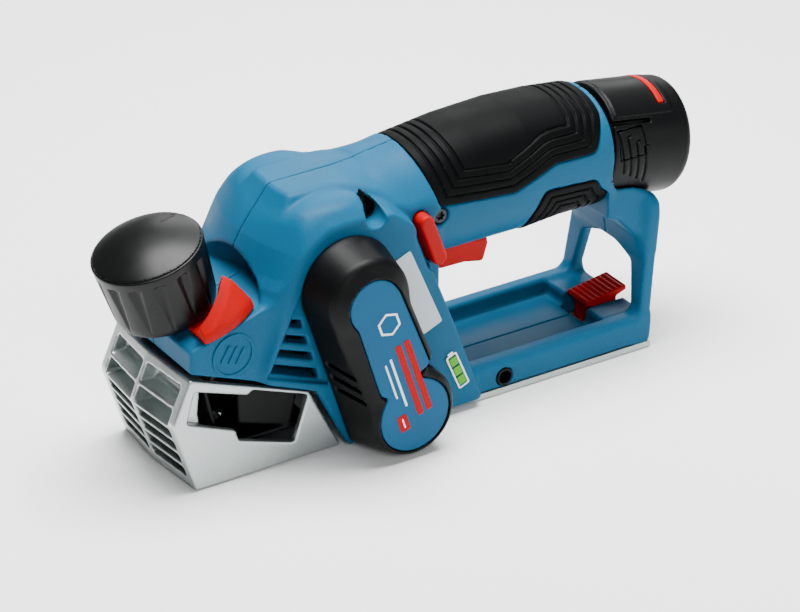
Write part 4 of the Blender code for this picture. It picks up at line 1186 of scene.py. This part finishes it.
TRIGGER_SIDE = (
    (121, 57), (120.6, 53), (126, 51.2), (136.8, 51), (145.9, 49), (148.3, 57),
    (147.6, 60.2), (127, 63.2), (121, 63.2),
)
REST_SIDE = (
    (197.5, 14.6), (217.5, 17.8), (218, 15.4), (212.8, 13.6), (213.2, 5.6), (205.4, 5.2),
    (205, 0.7), (201.4, 0.7), (201.6, 11.6), (197.8, 12.6),
)
TRIGGER_HALF_WIDTH = 8.2
REST_HALF_WIDTH = 7.2
REST_RIB_PITCH = 2.35
TRIGGER_PIN, REST_PIN = (123.5, 60.5), (210.5, 8.5)


def trigger():
    g = Grid((119.8, -8.8, 48.2), (149.2, 8.8, 64), 0.4)
    piece = meet(side_field(g, TRIGGER_SIDE, 2), np.abs(g.y) - TRIGGER_HALF_WIDTH, 1.8)
    piece = without(piece, round_bar(g, TRIGGER_PIN, 1.3), 0.2)
    make_piece("trigger_grip", piece, g, "red_plastic", "trigger", body="trigger")


def parking_rest():
    """The tab under the handle's rear, ribbed across its top."""
    g = Grid((196.8, -7.8, 0.2), (218.8, 7.8, 18.8), 0.35)
    piece = side_field(g, REST_SIDE, 1)
    ribs = 0.42 * np.cos(2 * math.pi * (g.x - 198.5) / REST_RIB_PITCH)
    piece = piece - np.where((g.z > 13.4) & (g.x < 217), ribs * np.clip(6.8 - np.abs(g.y), 0, 1), 0)
    piece = meet(piece, np.abs(g.y) - REST_HALF_WIDTH, 0.9)
    piece = without(piece, round_bar(g, REST_PIN, 1.5), 0.2)
    make_piece("rest_tab", piece, g, "red_plastic", "parking_rest", body="rest")


def lock_buttons():
    for side, sign in SIDES:
        low, high = sorted((sign * 21.5, sign * 32.2))
        g = Grid((98, low - 0.6, 66), (115, high + 0.6, 93.5), 0.35)
        piece = meet(segment_field(g, *LOCK_ENDS, LOCK_RADIUS), span(g.y, low, high), 1.3)
        name, node = "lock_tab_" + side, "lock_button_" + side
        make_piece(name, piece, g, "red_plastic", node, body="lock_" + side)


def screw_heads():
    """Recessed star-drive heads."""
    for node, (x, z), sink in (("head_screw", HEAD_SCREW, 3), ("grip_screw", GRIP_SCREW, 0)):
        g = Grid((x - 3.8, -25.6 + sink, z - 3.8), (x + 3.8, 11.8, z + 3.8), 0.22)
        away = round_bar(g, (x, z), 0)
        turn = np.arctan2(g.z - z, g.x - x)
        head = meet(away - 3.2, span(g.y, sink - 24.6, sink - 22.3), 0.5)
        star = meet(away - 1.6 - 0.34 * np.cos(6 * turn), g.y + 23.2 - sink, 0.1)
        head = without(head, star, 0.15)
        shank = meet(away - 1.5, span(g.y, sink - 23, 10), 0.2)
        screw = np.minimum(head, shank)
        make_piece(node + "_star", screw, g, "machined_steel", node, finish="dark_screw")


STRIP_LEAN = (0.39, -0.921)  # the way down the strip, in x and z
STRIP_CENTRE = (97.6, 60.2)
GAUGE_CENTRE = (117, 19.8)
CELL_PITCH = 4.9
EMBLEM_CENTRE = (17.4, 54.6)
EMBLEM_RADIUS = 8.6


def down_strip(distance):
    """A place on the gauge's middle line, a distance down from its centre."""
    return (GAUGE_CENTRE[0] + STRIP_LEAN[0] * distance, GAUGE_CENTRE[1] + STRIP_LEAN[1] * distance)


def labels():
    """The blank strip and the charge gauge beside the belt cover."""
    g = Grid((84, -34.2, 38), (112, -33, 84), 0.25)
    strip = slanted_tile(g, STRIP_CENTRE, 38, 9.6, 0.8, STRIP_LEAN)
    mark_piece("side_strip", g, strip, -33.55, -32.9, "pale_plate", "pale_plate", "strip_plate")
    g = Grid((108, -34.2, 7), (126, -33, 32), 0.2)
    outline = slanted_tile(g, GAUGE_CENTRE, 17, 5.4, 0.9, STRIP_LEAN)
    rim = np.abs(outline + 0.4) - 0.4
    rim = np.minimum(rim, slanted_tile(g, down_strip(-9.1), 1, 2.6, 0.3, STRIP_LEAN))
    mark_piece("gauge_outline", g, rim, -33.4, -32.9, "white_ink", "pale_plate")
    places = [down_strip(CELL_PITCH * k) for k in (-1, 0, 1)]
    cells = union(slanted_tile(g, place, 4.1, 3.2, 0.3, STRIP_LEAN) for place in places)
    mark_piece("gauge_cells", g, cells, -33.45, -32.9, "gauge_green", "gauge_lens", "battery_gauge")


def emblem():
    """A raised plain ring with three ridges on the apron's left side."""
    g = Grid((7, -29.9, 44.4), (27.8, -28.4, 64.8), 0.22)
    away = round_bar(g, EMBLEM_CENTRE, EMBLEM_RADIUS)
    relief = np.abs(away) - 0.55
    for k in (-1, 0, 1):
        place = (EMBLEM_CENTRE[0] + 3.2 * k, EMBLEM_CENTRE[1] - 1.2 * k)
        relief = np.minimum(relief, slanted_tile(g, place, 7.6, 1.4, 0.5, (0.5, 0.866)))
    relief = meet(relief, span(g.y, -29.55, -28.8), 0.2)
    make_piece("apron_emblem", relief, g, "blue_plastic")


# ---- pieces that keep the frame's mesh

EDGE_WIDTH = 0.25
EDGE_ANGLE = 35


def finish_kept_nodes():
    """Nodes that are shown with the frame's own mesh get a small bevel and their slot's finish."""
    slots = {row["node"]: row["material_slot"] for row in frame["record"]["subparts"]}
    for node, item in frame["nodes"].items():
        if item.hide_render:
            continue
        slot = slots[node]
        item.data.materials.clear()
        item.data.materials.append(FINISH[SLOT_FINISH[slot]])
        edge = item.modifiers.new("edge", "BEVEL")
        edge.width = EDGE_WIDTH * MM
        edge.segments = 2
        edge.limit_method = "ANGLE"
        edge.angle_limit = math.radians(EDGE_ANGLE)


make_camera()
FINISH = make_finishes()
make_studio()
housing()
belt_cover()
cover_marks()
knob()
selector()
front_shoe()
chip_chute()
grip_pads()
battery()
trigger()
parking_rest()
lock_buttons()
screw_heads()
labels()
emblem()
vent_shade_plates()
shaded_screw_well()
finish_kept_nodes()
